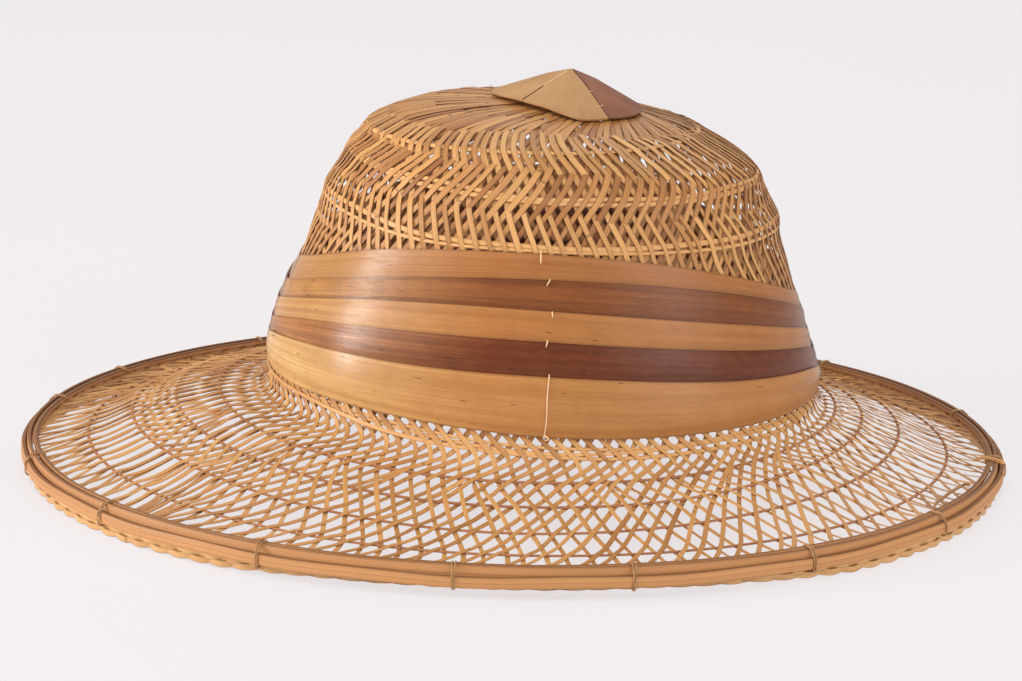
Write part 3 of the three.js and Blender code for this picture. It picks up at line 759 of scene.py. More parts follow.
def strand_angles(family, index, along, t, source):
    """Angles of a strand round the surface: its course, its drift and its changes at the ends."""
    rim_share = index / RIM_STRANDS
    root_share = AT_ROOT.get(index, rim_share)
    crown_share = ON_CROWN.get(index, root_share)
    share = (rim_share + (root_share - rim_share) * step_between(t, *ROOT_EVENING)
             + (crown_share - root_share) * step_between(t, *SHEATH_EVENING))
    half_spacing = 0.5 / RIM_STRANDS if family == "right" else 0.0
    start = 2 * math.pi * (share + half_spacing)
    outer = 1 - step_between(t, *RIM_ZONE)
    drift = source.gauss(0, STRAND_DRIFT) + source.gauss(0, RIM_DRIFT) * outer
    waver = slow_noise(source, WAVER_KNOTS, along / along[-1], WAVER)
    drift = drift + waver * (1 + TOP_WAVER * step_between(t, *LOOSE_TOP))
    angle = start + np.interp(t, FINE, TURNS[family])
    place = from_front(angle)
    weights = {
        "front": 1 - step_between(place, *FRONT_ZONE),
        "rear": step_between(place, *REAR_ZONE),
    }
    angle = angle + drift / np.maximum(np.interp(t, FINE, REACH), DRIFT_REACH)
    for end, weight in weights.items():
        angle = angle + weight * np.interp(t, FINE, END_SHIFTS[family, end])
    if family == "right":
        angle = angle + RIM_LEAN * rim_lean(angle) * (1 - step_between(t, *LEAN_ZONE))
    return angle


def strand_rise(family, along, t, angle, source):
    """Height of a strand above the surface: its layer, the canes under it, the tangle on top."""
    high = right_on_top(along, angle, source.gauss(0, SWAP_SPREAD))
    if family == "left":
        high = 1 - high
    rise = -LAYER_RISE + high * (2 * LAYER_RISE + CANE_CLEARANCE * cane_bump(along, angle))
    rise = rise + source.uniform(-TOP_TANGLE, TOP_TANGLE) * step_between(t, *LOOSE_TOP)
    return rise * step_between(along, *RIM_JOIN)


def strand_width(t):
    """Usual width of the strands at each station."""
    width = BRIM_STRAND_WIDTH
    width = width + (CROWN_STRAND_WIDTH - BRIM_STRAND_WIDTH) * step_between(t, *CROWN_WIDENING)
    width = width + UPPER_STRAND_EXTRA * step_between(t, *UPPER_WIDENING)
    return width + TOP_STRAND_EXTRA * step_between(t, *TOP_NARROWING)


def crowding(family, t, width):
    """Share by which the strands are wider than their room round the surface."""
    twist = np.radians(np.interp(t, *TWISTS[family]))
    room = 2 * math.pi * np.interp(t, FINE, REACH) * np.cos(twist) / len(ON_CROWN)
    return np.clip(1 - room / width, 0, 1)


def strand_run(family, index, source):
    """One strand from the rim to its end."""
    end = strand_end(index, source)
    along = np.linspace(0, end, STRAND_STATIONS)
    t = np.interp(along, LENGTHS, FINE)
    angle = strand_angles(family, index, along, t, source)
    _, normal = surface_frame(t, angle)
    rise = strand_rise(family, along, t, angle, source)
    points = surface(t, angle) + normal * rise[:, None]
    usual = strand_width(t)
    width = usual * source.uniform(1 - WIDTH_SPREAD, 1 + WIDTH_SPREAD)
    tip = 1 - TIP_NARROWING * step_between(along, end - TIP_LENGTH, TIP_LENGTH)
    roll = crowding(family, t, usual) * CROWDED_ROLL + source.gauss(0, STRAND_ROLL)
    return run_along(points, normal, width * tip, STRAND_THICKNESS, roll=roll)


def build_weave():
    template = rod_template(len(STRIP_PROFILE), STRAND_STATIONS)
    replaced = ["brim_weave", "crown_weave_wall", "crown_weave_top"]
    for family, material in (("left", WEAVE_UNDER), ("right", WEAVE_TOP)):
        source = random.Random(SEEDS[family])
        runs = [strand_run(family, index, source) for index in range(RIM_STRANDS)]
        mesh = swept(f"weave_{family}", template, runs, STRIP_PROFILE, STRIP_CROSS)
        piece(f"weave_{family}_strands", mesh, material, replaced)


# Canes and hoops

# Sections of a round cane and of a hoop, given as a flat strip's is
ROUND_PROFILE = [
    (1, 0), (0.71, 0.36), (0, 0.5), (-0.71, 0.36),
    (-1, 0), (-0.71, -0.36), (0, -0.5), (0.71, -0.36),
]
ROUND_CROSS = [0.8, 0.7, 0.5, 0.3, 0.2, 0.1, 0.02, 0.9]
CANE_STATIONS = 220
CANE_RISE = 0.3
CANE_HEIGHT = 0.75
# Sway of a ring's course: its size, the numbers of its waves round the hat, and the last phase
# that a wave may start with. The plait's is in radians of its swing
CANE_SWAY, CANE_WAVES = 0.22, (2, 3, 5, 8)
HOOP_SWAY, HOOP_WAVES = 0.09, (3, 7, 11, 17)
PLAIT_SWAY, PLAIT_WAVES = 0.12, (7, 19, 33)
LAST_PHASE = 6
# The lowest junction cane lies outside the strips at the front, up to these degrees from there
OUTER_CANE_RISE = 1.0
OUTER_CANE_ZONE = (62, 10)
LOWEST_CANE_SHIFT = -1.3
# Cane rings: width and shift up the surface of each of the canes that make up a ring
CANE_PARTS = {
    "brim_cane_a": [(1.25, 0.0)],
    "brim_cane_b": [(1.25, 0.0)],
    "brim_cane_c": [(1.25, 0.0)],
    "brim_cane_d": [(1.25, 0.0)],
    "crown_cane_lower": [(1.9, 0.0), (1.3, -2.3)],
    "crown_cane_middle": [(1.8, -1.0), (1.7, 0.95)],
    "crown_cane_top": [(1.8, 0.0)],
    "junction_cane": [(1.5, LOWEST_CANE_SHIFT), (1.3, 0.3), (1.2, 1.7)],
}


def whole_turn(count):
    return np.linspace(0, 2 * math.pi, count, endpoint=False)


def sway_round(angle, size, waves, source):
    """Slow random sway that meets itself after a whole turn."""
    return sum(source.gauss(0, size) * np.cos(count * angle + source.uniform(0, LAST_PHASE))
               for count in waves)


def cane_run(name, width, shift, source):
    angle = whole_turn(CANE_STATIONS)
    if name in BRIM_CANES:
        t = np.full(CANE_STATIONS, BRIM_CANES[name])
    else:
        t = station_at_height(smooth_spread(CROWN_CANES[name], angle), angle)
    sway = sway_round(angle, CANE_SWAY, CANE_WAVES, source)
    t = np.interp(length_at(t) + shift + sway, LENGTHS, FINE)
    _, normal = surface_frame(t, angle)
    rise = np.full(CANE_STATIONS, CANE_RISE)
    if name == "junction_cane" and shift == LOWEST_CANE_SHIFT:
        rise = rise + OUTER_CANE_RISE * (1 - step_between(from_front(angle), *OUTER_CANE_ZONE))
    points = surface(t, angle) + normal * rise[:, None]
    return run_along(points, normal, width, CANE_HEIGHT, closed=True)


def build_canes():
    template = ring_template(len(ROUND_PROFILE), CANE_STATIONS)
    source = random.Random(SEEDS["canes"])
    for name, parts in CANE_PARTS.items():
        runs = [cane_run(name, width, shift, source) for width, shift in parts]
        mesh = swept(name + "_mesh", template, runs, ROUND_PROFILE, ROUND_CROSS)
        material = RING if name in BRIM_CANES else CANE
        piece(name + "_ring", mesh, material, [name])


def rim_point(angle, inset, height):
    """Place on the outline of the hoops, moved in by an inset."""
    normal = unit(np.stack([HOOP_HALF_WIDTH * np.cos(angle), HOOP_HALF_LENGTH * np.sin(angle)], -1))
    x = HOOP_HALF_LENGTH * np.cos(angle) - inset * normal[..., 0]
    y = HOOP_HALF_WIDTH * np.sin(angle) - inset * normal[..., 1]
    return np.stack([x, y, np.broadcast_to(height, np.shape(angle)) + HOOP_LIFT], -1)


HOOP_PROFILE = [
    (1, -0.3), (1, 0.3), (0.72, 0.46), (0, 0.5), (-0.72, 0.46),
    (-1, 0.3), (-1, -0.3), (-0.72, -0.46), (0, -0.5), (0.72, -0.46),
]
HOOP_CROSS = [0.95, 0.9, 0.8, 0.5, 0.2, 0.1, 0.05, 0.02, 0.5, 0.98]
HOOP_STATIONS = 300
# Share of a hoop's sway that is also sideways, and how far behind it the place lies from which
# it faces outward
HOOP_SWAY_INWARD = 0.6
HOOP_AXIS_DEPTH = 5
# Hoops: inset of the middle, height of the middle, height of the section, its thickness
HOOPS = {
    "rim_hoop_outer": (1.2, 2.3, 4.5, 2.1),
    "rim_hoop_upper": (3.6, 3.85, 6.8, 1.9),
    "rim_hoop_inner": (5.95, 6.25, 1.9, 2.0),
}


def build_hoops():
    template = ring_template(len(HOOP_PROFILE), HOOP_STATIONS)
    source = random.Random(SEEDS["hoops"])
    angle = whole_turn(HOOP_STATIONS)
    for name, (inset, height, tall, thick) in HOOPS.items():
        sway = sway_round(angle, HOOP_SWAY, HOOP_WAVES, source)
        points = rim_point(angle, inset + sway * HOOP_SWAY_INWARD, height + sway)
        outward = unit(points - rim_point(angle, inset + HOOP_AXIS_DEPTH, height))
        run = run_along(points, outward, tall, thick, closed=True)
        mesh = swept(name + "_mesh", template, [run], HOOP_PROFILE, HOOP_CROSS)
        piece(name + "_cane", mesh, HOOP, [name])


# The plait below the hoops: its strips, the swings of each round the hat, and its upper edge
PLAIT_STRANDS = 3
PLAIT_TURNS = 40
PLAIT_STATIONS = 1430
PLAIT_TOP = 1.1
PLAIT_WIDTH, PLAIT_THICKNESS = 2.5, 0.8
# Inset of the plait's middle, how far its strips lie in front of each other, and their room at
# its upper and lower edge
PLAIT_INSET = 1.15
PLAIT_WEAVE = 0.5
PLAIT_MARGIN = 0.05


def build_braid():
    """Flat strips plaited together below the outer hoop."""
    template = ring_template(len(STRIP_PROFILE), PLAIT_STATIONS)
    angle = whole_turn(PLAIT_STATIONS)
    place = from_front(angle)
    table = np.array(BRAID_TABLE, float)
    inset = np.interp(place, table[:, 0], table[:, 1]) + PLAIT_INSET
    bottom = np.interp(place, table[:, 0], table[:, 2])
    middle, depth = (PLAIT_TOP + bottom) / 2, (PLAIT_TOP - bottom) / 2
    swing = depth - PLAIT_WIDTH / 2 - PLAIT_MARGIN
    normal = unit(rim_point(angle, inset - 1, 0) - rim_point(angle, inset, 0))
    source = random.Random(SEEDS["plait"])
    runs = []
    for part in range(PLAIT_STRANDS):
        sway = sway_round(angle, PLAIT_SWAY, PLAIT_WAVES, source)
        phase = angle * PLAIT_TURNS + part * 2 * math.pi / PLAIT_STRANDS + sway
        points = rim_point(angle, inset + PLAIT_WEAVE * np.cos(2 * phase), 0.0)
        points[:, 2] += middle + swing * np.sin(phase)
        runs.append(run_along(points, normal, PLAIT_WIDTH, PLAIT_THICKNESS, closed=True))
    mesh = swept("braid_mesh", template, runs, STRIP_PROFILE, STRIP_CROSS)
    piece("rim_braid_plait", mesh, BRAID, ["rim_braid"])


# Sheath strips

STRIP_ALONG, STRIP_ACROSS = 120, 7
# Share of a strip's width by which it lies under the next one
STRIP_LAP_SHARE = 0.2
STRIP_THICKNESS = 0.6
# Heights above the weave: of the first strip's upper edge, of the others' over the strip above,
# of the lower edges, and of the bulge between the edges
FIRST_EDGE_RISE, UPPER_EDGE_RISE, LOWER_EDGE_RISE, STRIP_BULGE = 0.75, 1.95, 0.7, 0.35
# Degrees by which the strips end short of the middle of the front and rear. The far ones go past
# it, and the near ones rise over them by this much, over these degrees from the end, middle and
# half width
STRIP_ENDS = {NEAR: 9.0, FAR: -15.0}
END_RISE = {NEAR: 0.65, FAR: -0.39}
END_ZONE = (20, 14)
# Middle and length of a strip in its UV map, and how far from the middle its darker ends set in,
# cut ends with painted shade over them
STRIP_MIDDLE = 1.5
STRIP_RUN = {NEAR: 3.0, FAR: 3.36}
END_TINT = 1.47
# A place inside the crown in metres, from which the strips face away
CROWN_INSIDE = (0.01, 0, 0.06)


def sheath(name, front, light, dark, streaks, shade_and_specks, seed, roughness=0.23):
    """Bamboo sheath: fine level grain, paler to the front, specks, painted shade along its edges,
    and darker cut ends with painted shade.
    """
    finish = Finish(name, roughness, Specular_IOR_Level=0.28)
    along, across = finish.lookup()

    def level_noise(lengthwise, crosswise, own, scale=1.0, detail=3.0, rough=0.5):
        vector = finish.vector(along * lengthwise, across * crosswise, seed + own)
        return finish.noise(vector, scale, detail, rough)

    fine = level_noise(1.4, 74.0, 0.0, detail=4.0, rough=0.6)
    broad = level_noise(1.1, 1.6, 4.0)
    bands = level_noise(0.5, 5.0, 9.0, rough=0.55)
    scuffs = level_noise(5.0, 9.0, 6.0, scale=3.0, detail=4.0, rough=0.7)
    specks = level_noise(11.0, 15.0, 2.0, detail=1.0)
    mottle = finish.noise(finish.place(), 120.0, 3.0, 0.6)
    colour = finish.mix((broad * 1.6 - 0.3).clamped(), light, dark)
    # Columns: where a layer shows, its strength, its colour
    layers = (
        (1 - along.above(0.85, 0.9), 1.0, front),
        (bands.above(0.52, 0.2), 0.45, streaks),
        (fine.above(0.52, 0.14), 0.34, streaks),
        (mottle.above(0.56, 0.2), 0.22, streaks),
        (scuffs.above(0.6, 0.12), 0.14, front),
        # Painted shade: a thin dark line along both edges of the strip
        ((across - 0.5).absolute().above(0.475, 0.04), 0.5, shade_and_specks),
        # Darker ends: cut ends, and painted shade where the far strips lie in the gap under the
        # near ones
        ((along - STRIP_MIDDLE).absolute().above(END_TINT, 0.03), 0.5, shade_and_specks),
        (specks.above(0.745, 0.03), 0.8, shade_and_specks),
    )
    for mask, strength, layer_colour in layers:
        colour = finish.mix(mask * strength, colour, layer_colour)
    finish.colour(colour)
    finish.rough((roughness - 0.08) + fine * 0.14 + mottle * 0.08)
    finish.bump(fine * 0.6 + broad * 0.4 + mottle * 0.15, 0.3, 0.0004)
    return finish.material


# From the top: slot and finish of each strip, whose tones are the front, light, dark, streaks
# and the shade and specks, the colour of the painted shade at edges and ends and of the specks
STRIP_FINISHES = [
    ("strip_tan", sheath(
        "sheath_upper_tan", tone(186, 136, 82), tone(180, 120, 70), tone(160, 100, 54),
        tone(140, 86, 44), tone(84, 44, 22), 1.0)),
    ("strip_brown", sheath(
        "sheath_brown", tone(190, 134, 76), tone(150, 88, 46), tone(112, 60, 30),
        tone(92, 48, 24), tone(52, 26, 14), 2.0)),
    ("strip_tan", sheath(
        "sheath_lower_tan", tone(196, 146, 90), tone(184, 124, 70), tone(166, 106, 58),
        tone(144, 90, 46), tone(80, 42, 22), 3.0)),
    ("strip_dark", sheath(
        "sheath_dark", tone(184, 122, 68), tone(132, 66, 34), tone(92, 42, 20),
        tone(76, 34, 16), tone(38, 18, 10), 4.0)),
    ("strip_gold", sheath(
        "sheath_gold", tone(220, 176, 112), tone(196, 138, 80), tone(178, 120, 66),
        tone(152, 98, 52), tone(88, 48, 24), 5.0)),
]


def own_lookup(bm, values):
    """Gives the vertices of a mesh in the making their pairs of numbers in its UV map."""
    layer = bm.loops.layers.uv.new("UVMap")
    for face in bm.faces:
        for loop in face.loops:
            loop[layer].uv = values[loop.vert]


def sheet_mesh(bm, thickness, name):
    """A bent sheet with its faces already outward, made a wall of the given thickness."""
    bmesh.ops.solidify(bm, geom=bm.faces[:], thickness=-thickness * MM)
    bmesh.ops.recalc_face_normals(bm, faces=bm.faces[:])
    mesh = mesh_from(bm, name)
    mesh.shade_smooth()
    mesh.set_sharp_from_angle(angle=SHEET_SHARP_ANGLE)
    return mesh


def strip_spots(index, side, along, down):
    """Places on a strip: along and down are shares of its length and width, from front and top."""
    short = STRIP_ENDS[side]
    angle = side * np.radians(180 - short - (180 - 2 * short) * along)
    top = smooth_spread(STRIP_EDGES[index], angle)
    edge = smooth_spread(STRIP_EDGES[index + 1], angle)
    lowest = index == len(STRIP_EDGES) - 2
    lap = 0 if lowest else (top - edge) * STRIP_LAP_SHARE
    height = top + (edge - lap - top) * down
    upper = FIRST_EDGE_RISE if index == 0 else UPPER_EDGE_RISE
    rise = upper + (LOWER_EDGE_RISE - upper) * down + STRIP_BULGE * np.sin(math.pi * down)
    from_end = np.minimum(along, 1 - along) * 180
    rise = rise + END_RISE[side] * (1 - step_between(from_end, *END_ZONE))
    t = station_at_height(height, angle)
    _, normal = surface_frame(t, angle)
    return surface(t, angle) + normal * rise[:, None]


def sheath_strip(index, side):
    """One strip: a grid bent over the crown, its upper edge over the strip above it."""
    bm = bmesh.new()
    bmesh.ops.create_grid(bm, x_segments=STRIP_ALONG, y_segments=STRIP_ACROSS, size=1)
    places = np.array([v.co[:] for v in bm.verts])
    along, down = (places[:, 0] + 1) / 2, (1 - places[:, 1]) / 2
    for vert, spot in zip(bm.verts, strip_spots(index, side, along, down)):
        vert.co = spot * MM
    own_lookup(bm, {v: (STRIP_MIDDLE + (a - 0.5) * STRIP_RUN[side], d)
                    for v, a, d in zip(bm.verts, along, down)})
    bm.normal_update()
    inside = Vector(CROWN_INSIDE)
    if sum(f.normal.dot(f.calc_center_median() - inside) for f in bm.faces) < 0:
        bmesh.ops.reverse_faces(bm, faces=bm.faces[:])
    return sheet_mesh(bm, STRIP_THICKNESS, "strip")


def build_strips():
    for side, word in ((NEAR, "near"), (FAR, "far")):
        for index, (slot, material) in enumerate(STRIP_FINISHES):
            name = f"{word}_strip_{index + 1}"
            piece(name + "_sheath", sheath_strip(index, side), material, [name])


# Leaf cap

def leaf(name, light, dark, vein):
    """Dried leaf: faint veins from the point outwards, over blotches."""
    finish = Finish(name, roughness=0.6, Specular_IOR_Level=0.4)
    along, across = finish.lookup()
    veins = finish.noise(finish.vector(along * 1.2, across * 34.0, 0.4), 1.0, 3.0, 0.6)
    cloud = finish.noise(finish.place(), 60.0, 4.0, 0.6)
    colour = finish.mix((cloud * 1.6 - 0.3).clamped(), light, dark)
    colour = finish.mix(veins.above(0.56, 0.2) * 0.16, colour, vein)
    finish.colour(colour)
    finish.rough(0.52 + cloud * 0.2)
    finish.bump(veins * 0.3 + cloud * 0.6, 0.3, 0.0004)
    return finish.material


LEAF_TAN = leaf("leaf_tan", tone(194, 148, 98), tone(160, 116, 72), tone(120, 82, 48))
LEAF_BROWN = leaf("leaf_brown", tone(150, 94, 64), tone(112, 66, 46), tone(78, 44, 30))
LEAF_ACROSS, LEAF_DOWN = 26, 16
LEAF_THICKNESS = 0.7
# Degrees left free between a leaf and its seam, and degrees per unit across in its UV map
LEAF_GAP = 0.4
LEAF_UNIT = 90
# Shares of the way down between which a leaf is smoothed, and how strongly
LEAF_SMOOTHED = (0.1, 0.95)
LEAF_SMOOTHING = 0.5
# Radius of the cap's blunt point, and how the rows of a leaf crowd towards it
CAP_POINT_RADIUS = 0.6
CAP_ROW_POWER = 1.2
# Height of the cap's edge over the weave, and how far it gapes more, at these degrees
CAP_EDGE_RISE = 1.3
CAP_GAPE = ([-175, -140, -115, -80], [0.0, 1.1, 1.1, 0.0])


def cap_spots(angle, down, lift=0.0):
    """Places on the cap in metres: angle in degrees, share of the way down from the point."""
    table = np.array(CAP_TABLE)
    wrapped = (angle + 180) % 360 - 180
    fold, fold_z, rim = (np.interp(wrapped, table[:, 0], table[:, k]) for k in (1, 2, 3))
    radians = np.radians(angle)
    outward = np.stack([np.cos(radians), np.sin(radians)])
    rim_x, rim_y = np.array(CAP_CENTRE)[:, None] + rim * outward
    t, around = station_over(rim_x, rim_y)
    rim_rise = CAP_EDGE_RISE + np.interp(wrapped, *CAP_GAPE)
    rim_z = surface(t, around)[:, 2] - HOOP_LIFT + rim_rise
    share = down ** CAP_ROW_POWER
    radius = CAP_POINT_RADIUS + (rim - CAP_POINT_RADIUS) * share
    fold_share = (fold - CAP_POINT_RADIUS) / (rim - CAP_POINT_RADIUS)
    inner = np.clip(share / fold_share, 0, 1)
    outer = np.clip((share - fold_share) / (1 - fold_share), 0, 1)
    z = CAP_APEX_HEIGHT + (fold_z - CAP_APEX_HEIGHT) * inner + (rim_z - fold_z) * outer
    x, y = np.array(CAP_CENTRE)[:, None] + radius * outward
    return np.stack([x, y, z + HOOP_LIFT + lift], 1) * MM


def cap_leaf(first, last):
    """One leaf between two seams: a grid bent to the cap and softened along its fold."""
    bm = bmesh.new()
    bmesh.ops.create_grid(bm, x_segments=LEAF_ACROSS, y_segments=LEAF_DOWN, size=1)
    places = np.array([v.co[:] for v in bm.verts])
    over, down = (places[:, 0] + 1) / 2, (1 - places[:, 1]) / 2
    spots = cap_spots(first + LEAF_GAP + (last - first - 2 * LEAF_GAP) * over, down)
    for vert, spot in zip(bm.verts, spots):
        vert.co = spot
    upper, lower = LEAF_SMOOTHED
    bmesh.ops.smooth_vert(bm, verts=[v for v, d in zip(bm.verts, down) if upper < d < lower],
                          factor=LEAF_SMOOTHING, use_axis_x=False, use_axis_y=False,
                          use_axis_z=True)
    own_lookup(bm, {v: (d, o * (last - first) / LEAF_UNIT)
                    for v, d, o in zip(bm.verts, down, over)})
    bm.normal_update()
    if sum(f.normal.z for f in bm.faces) < 0:
        bmesh.ops.reverse_faces(bm, faces=bm.faces[:])
    return sheet_mesh(bm, LEAF_THICKNESS, "leaf")


def build_cap():
    for name, (first, last) in CAP_PANELS.items():
        slot, material = "leaf", LEAF_TAN
        if name == "cap_leaf_rear":
            slot, material = "leaf_brown", LEAF_BROWN
        piece(name + "_fold", cap_leaf(first, last), material, [name])


# Ties and threads

def fibre(name, light, dark):
    """Twisted plant fibre."""
    finish = Finish(name, roughness=0.7)
    along, across = finish.lookup()
    twist = finish.noise(finish.vector(along * 30.0, across * 6.0, 1.0), 1.0, 3.0, 0.6)
    finish.colour(finish.mix((twist * 2.0 - 0.5).clamped(), light, dark))
    finish.rough(0.6 + twist * 0.2)
    finish.bump(twist, 0.5, 0.0002)
    return finish.material


TIE = fibre("plant_fibre", tone(192, 146, 96), tone(132, 92, 56))
STITCH = fibre("pale_fibre", tone(246, 214, 170), tone(214, 172, 122))
SEAM = fibre("dark_thread", tone(92, 54, 28), tone(58, 32, 18))
# Way of a tie round the hoops' section: inset and height at each of its bends, and the middle
TIE_PATH = np.array([
    [-0.25, 0.4], [-0.3, 2.6], [-0.1, 4.4], [1.0, 6.0], [2.6, 7.5], [4.6, 7.6], [6.4, 7.5],
    [7.3, 6.8], [7.3, 5.4], [6.7, 4.2], [5.6, 2.2], [4.6, 0.2], [2.6, -0.5], [0.6, -0.5],
])
TIE_MIDDLE = (3.5, 3.6)
TIE_STATIONS = 42
TIE_THICKNESS = 0.62
# Each tie is two turns of fibre side by side, which lean at random; lengths along the rim
# become angles over its mean radius
TIE_TURNS = (-0.42, 0.42)
TIE_LEAN = 0.25
RIM_MEAN_RADIUS = 175
THREAD_CORNERS = 6
THREAD_PROFILE = [(math.cos(k * math.pi / 3), math.sin(k * math.pi / 3) / 2)
                  for k in range(THREAD_CORNERS)]
THREAD_CROSS = [0.1, 0.3, 0.5, 0.7, 0.9, 0.5]


def tie_run(degrees, shift, source):
    """One turn of fibre round the hoops."""
    bends = len(TIE_PATH)
    closed = np.concatenate([TIE_PATH, TIE_PATH[:1]])
    place = np.linspace(0, bends, TIE_STATIONS, endpoint=False)
    inset = np.interp(place, np.arange(bends + 1), closed[:, 0])
    height = np.interp(place, np.arange(bends + 1), closed[:, 1])
    sway = shift + source.gauss(0, TIE_LEAN) * np.cos(place / bends * 2 * math.pi)
    angle = math.radians(degrees) + sway / RIM_MEAN_RADIUS
    points = rim_point(angle, inset, height)
    middle = rim_point(angle, *(np.full(TIE_STATIONS, value) for value in TIE_MIDDLE))
    return run_along(points, unit(points - middle), TIE_THICKNESS, TIE_THICKNESS, closed=True)


def build_ties():
    template = ring_template(THREAD_CORNERS, TIE_STATIONS)
    for index, degrees in enumerate(TIE_ANGLES):
        source = random.Random(SEEDS["ties"] + index)
        runs = [tie_run(degrees, shift, source) for shift in TIE_TURNS]
        mesh = swept("tie_mesh", template, runs, THREAD_PROFILE, THREAD_CROSS)
        name = f"rim_tie_{index + 1:02d}"
        piece(name + "_fibre", mesh, TIE, [name])


THREAD_STATIONS = 24
# Stitches on the near sheath strips: angle, height and rise at each of their bends
BAND_STITCHES = [
    [(-91.9, 96.4, 0.4), (-91.9, 95.2, 2.6), (-91.7, 92.4, 3.1), (-91.6, 91.8, 2.4)],
    [(-89.3, 86.3, 2.0), (-89.4, 85.7, 3.0), (-89.8, 84.6, 3.0), (-89.9, 84.0, 2.0)],
    [(-88.6, 75.2, 2.0), (-88.6, 74.6, 3.0), (-88.5, 73.6, 3.0), (-88.5, 73.0, 2.0)],
    [(-89.2, 65.6, 2.0), (-89.1, 65.0, 3.0), (-89.2, 63.8, 3.0), (-89.2, 63.2, 2.0)],
    [(-88.2, 54.2, 1.6), (-88.3, 52.6, 2.6), (-89.2, 40.0, 2.6), (-89.9, 32.2, 1.8)],
    [(-89.9, 33.4, 2.0), (-89.2, 32.8, 2.9), (-88.9, 32.0, 2.7), (-89.6, 31.2, 1.6)],
]
# Dark threads in the cap's seams and its pale stitches: angle and share of the way down
CAP_SEAM_THREADS = [
    [(-61.6, 0.06), (-61.6, 0.35), (-61.6, 0.7), (-61.6, 1.0)],
    [(-132, 0.62), (-132, 0.72), (-132, 0.84), (-132, 0.98)],
]
CAP_STITCHES = [
    [(-132, 0.12), (-132.5, 0.3), (-131.5, 0.45), (-132, 0.6)],
    [(-64.5, 0.55), (-62.5, 0.56), (-60.5, 0.57), (-58.5, 0.56)],
    [(-64.0, 0.8), (-62.5, 0.81), (-60.5, 0.82), (-59.0, 0.8)],
]
# Stray fibre standing up at the front corner of the cap: x, y and height in millimetres
CAP_STRAY = [
    (-10.8, -1.5, 137.4), (-10.9, -1.5, 139.4), (-11.2, -1.6, 140.8), (-11.0, -1.6, 141.6),
]
# Loose fibre and end of a strip at the rim: angle, inset from the outline and height
LOOSE_FIBRE = [
    (-33.6, 6.4, 7.9), (-31.5, 9.2, 7.6), (-28.5, 10.6, 7.2), (-25.0, 11.0, 7.2),
    (-22.4, 8.8, 8.2), (-23.0, 6.2, 8.9),
]
LOOSE_STRIP = [(-8.0, 11.0, 6.9), (-8.3, 7.5, 7.8), (-8.9, 4.0, 7.9), (-9.7, 0.6, 7.5)]
# Width and height of the section of each kind of thread
BAND_THREAD, SEAM_THREAD, CAP_THREAD = (0.85, 0.55), (0.9, 0.72), (0.6, 0.48)
STRAY_THREAD, FIBRE_SECTION, STRIP_SECTION = (0.5, 0.5), (1.7, 1.0), (2.6, 1.1)
# Heights of the middle of the cap's threads above it
SEAM_LIFT, STITCH_LIFT = 0.55, 0.7


def bent(bends):
    """Even places on a smooth curve through bends."""
    bends = np.asarray(bends, float)
    padded = np.concatenate([2 * bends[:1] - bends[1:2], bends, 2 * bends[-1:] - bends[-2:-1]])
    place = np.linspace(0, len(bends) - 1, THREAD_STATIONS)
    low = np.minimum(place.astype(int), len(bends) - 2)
    return curve_between(*(padded[low + k] for k in range(4)), (place - low)[:, None])


def threads(name, runs, material):
    """A piece of round threads, which replaces no solid."""
    template = rod_template(THREAD_CORNERS, THREAD_STATIONS)
    mesh = swept(name + "_mesh", template, runs, THREAD_PROFILE, THREAD_CROSS)
    piece(name, mesh, material, None)


def band_run(bends):
    """A stitch over the sheath strips."""
    degrees, height, rise = bent(bends).T
    angle = np.radians(degrees)
    t = station_at_height(height, angle)
    _, normal = surface_frame(t, angle)
    return run_along(surface(t, angle) + normal * rise[:, None], normal, *BAND_THREAD)


def facing(points, direction, section):
    """A run whose upper side faces one way all along."""
    return run_along(points, np.tile(direction, (len(points), 1)), *section)


def cap_run(bends, lift, section):
    """A thread on the cap."""
    degrees, down = bent(bends).T
    return facing(cap_spots(degrees, down, lift) / MM, [0.0, 0.0, 1.0], section)


def rim_run(bends, section):
    """A loose end at the rim."""
    degrees, inset, level = bent(bends).T
    return facing(rim_point(np.radians(degrees), inset, level), [0.0, 0.0, 1.0], section)


def stray_run(bends, section):
    """An upright fibre."""
    return facing(bent(bends) + np.array([0, 0, HOOP_LIFT]), [0.0, -1.0, 0.0], section)


def build_threads():
    threads("band_stitches", [band_run(bends) for bends in BAND_STITCHES], STITCH)
    seams = [cap_run(bends, SEAM_LIFT, SEAM_THREAD) for bends in CAP_SEAM_THREADS]
    threads("cap_seam_threads", seams, SEAM)
    stitches = [cap_run(bends, STITCH_LIFT, CAP_THREAD) for bends in CAP_STITCHES]
    threads("cap_stitches", stitches, STITCH)
    threads("cap_stray_fibre", [stray_run(CAP_STRAY, STRAY_THREAD)], TIE)
    threads("rim_loose_fibre", [rim_run(LOOSE_FIBRE, FIBRE_SECTION)], TIE)
    threads("rim_loose_strip", [rim_run(LOOSE_STRIP, STRIP_SECTION)], WEAVE_TOP)


# Floor, light and camera

# Floor: half its side in metres, its tones, and the glow that keeps it bright under the hat
FLOOR_HALF_SIZE = 6
FLOOR_TONES = ((0.13, 0.13, 0.13, 1), (0.15, 0.15, 0.15, 1))
FLOOR_GLOW, FLOOR_GLOW_STRENGTH = (1, 0.955, 0.965, 1), 0.7
SKY_STRENGTH = 0.42
# Square lamps: place in metres, side in metres, power in watts
LAMPS = {
    "window": ((-1.6, -0.9, 0.8), 1.2, 11),
    "pane": ((-1.75, -0.33, 0.4), 0.3, 20),
    "sky": ((0.0, -1.1, 1.9), 1.4, 20),
    "fill": ((1.5, -1.15, 0.7), 1.2, 14),
    "back": ((0.3, 1.6, 1.5), 1.4, 7),
}
LAMPS_AIM = (0, 0, 0.06)
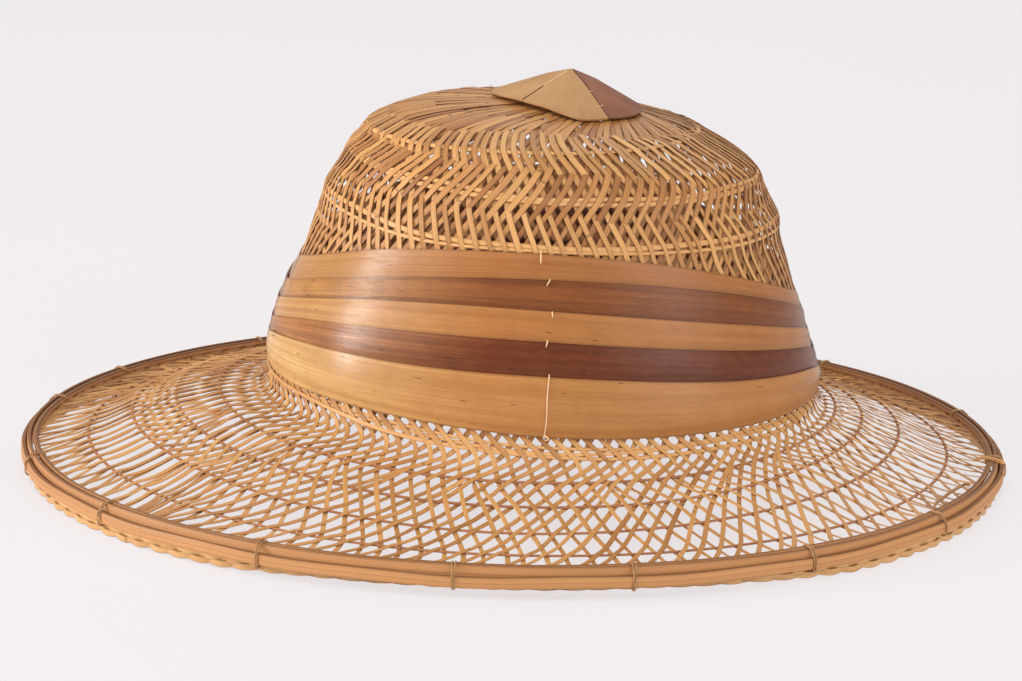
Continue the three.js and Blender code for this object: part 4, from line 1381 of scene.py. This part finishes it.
# Camera: what it looks at in millimetres, its height and tilt in degrees, distance in metres,
# sensor width and lens in millimetres
CAMERA_TARGET = (-1.6, 0.0, 47.1)
CAMERA_ELEVATION, CAMERA_ROLL = 15, 1.36
CAMERA_DISTANCE = 1.2
CAMERA_SENSOR, CAMERA_LENS = 36, 111.3
CAMERA_NEAR = 0.05


def build_floor():
    bm = bmesh.new()
    bmesh.ops.create_grid(bm, x_segments=1, y_segments=1, size=FLOOR_HALF_SIZE)
    floor = bpy.data.objects.new("floor", mesh_from(bm, "floor"))
    bpy.context.scene.collection.objects.link(floor)
    finish = Finish("pale_floor", roughness=0.9, Emission_Color=FLOOR_GLOW,
                    Emission_Strength=FLOOR_GLOW_STRENGTH)
    grain = finish.noise(finish.place(), 3.0, 2.0, 0.5)
    finish.colour(finish.mix(grain, *FLOOR_TONES))
    floor.data.materials.append(finish.material)


def build_lights():
    world = bpy.data.worlds.new("soft_sky")
    world.use_nodes = True
    background = world.node_tree.nodes["Background"]
    background.inputs["Color"].default_value = (1, 1, 1, 1)
    background.inputs["Strength"].default_value = SKY_STRENGTH
    bpy.context.scene.world = world
    bpy.context.scene.view_settings.view_transform = "Standard"
    for name, (place, size, power) in LAMPS.items():
        data = bpy.data.lights.new(name, "AREA")
        data.size = size
        data.energy = power
        lamp = bpy.data.objects.new(name, data)
        lamp.location = place
        aim = Vector(LAMPS_AIM) - Vector(place)
        lamp.rotation_euler = aim.to_track_quat("-Z", "Y").to_euler()
        bpy.context.scene.collection.objects.link(lamp)


def build_camera():
    target = Vector(CAMERA_TARGET) * MM
    elevation, roll = math.radians(CAMERA_ELEVATION), math.radians(CAMERA_ROLL)
    backward = Vector((0, -math.cos(elevation), math.sin(elevation)))
    place = target + backward * CAMERA_DISTANCE
    data = bpy.data.cameras.new("camera")
    data.sensor_width = CAMERA_SENSOR
    data.lens = CAMERA_LENS
    data.clip_start = CAMERA_NEAR
    camera = bpy.data.objects.new("camera", data)
    turn = (target - place).to_track_quat("-Z", "Y").to_matrix().to_4x4()
    camera.matrix_world = Matrix.Translation(place) @ turn @ Matrix.Rotation(roll, 4, "Z")
    bpy.context.scene.collection.objects.link(camera)
    bpy.context.scene.camera = camera


build_camera()
build_weave()
build_canes()
build_hoops()
build_braid()
build_ties()
build_strips()
build_cap()
build_threads()
build_floor()
build_lights()
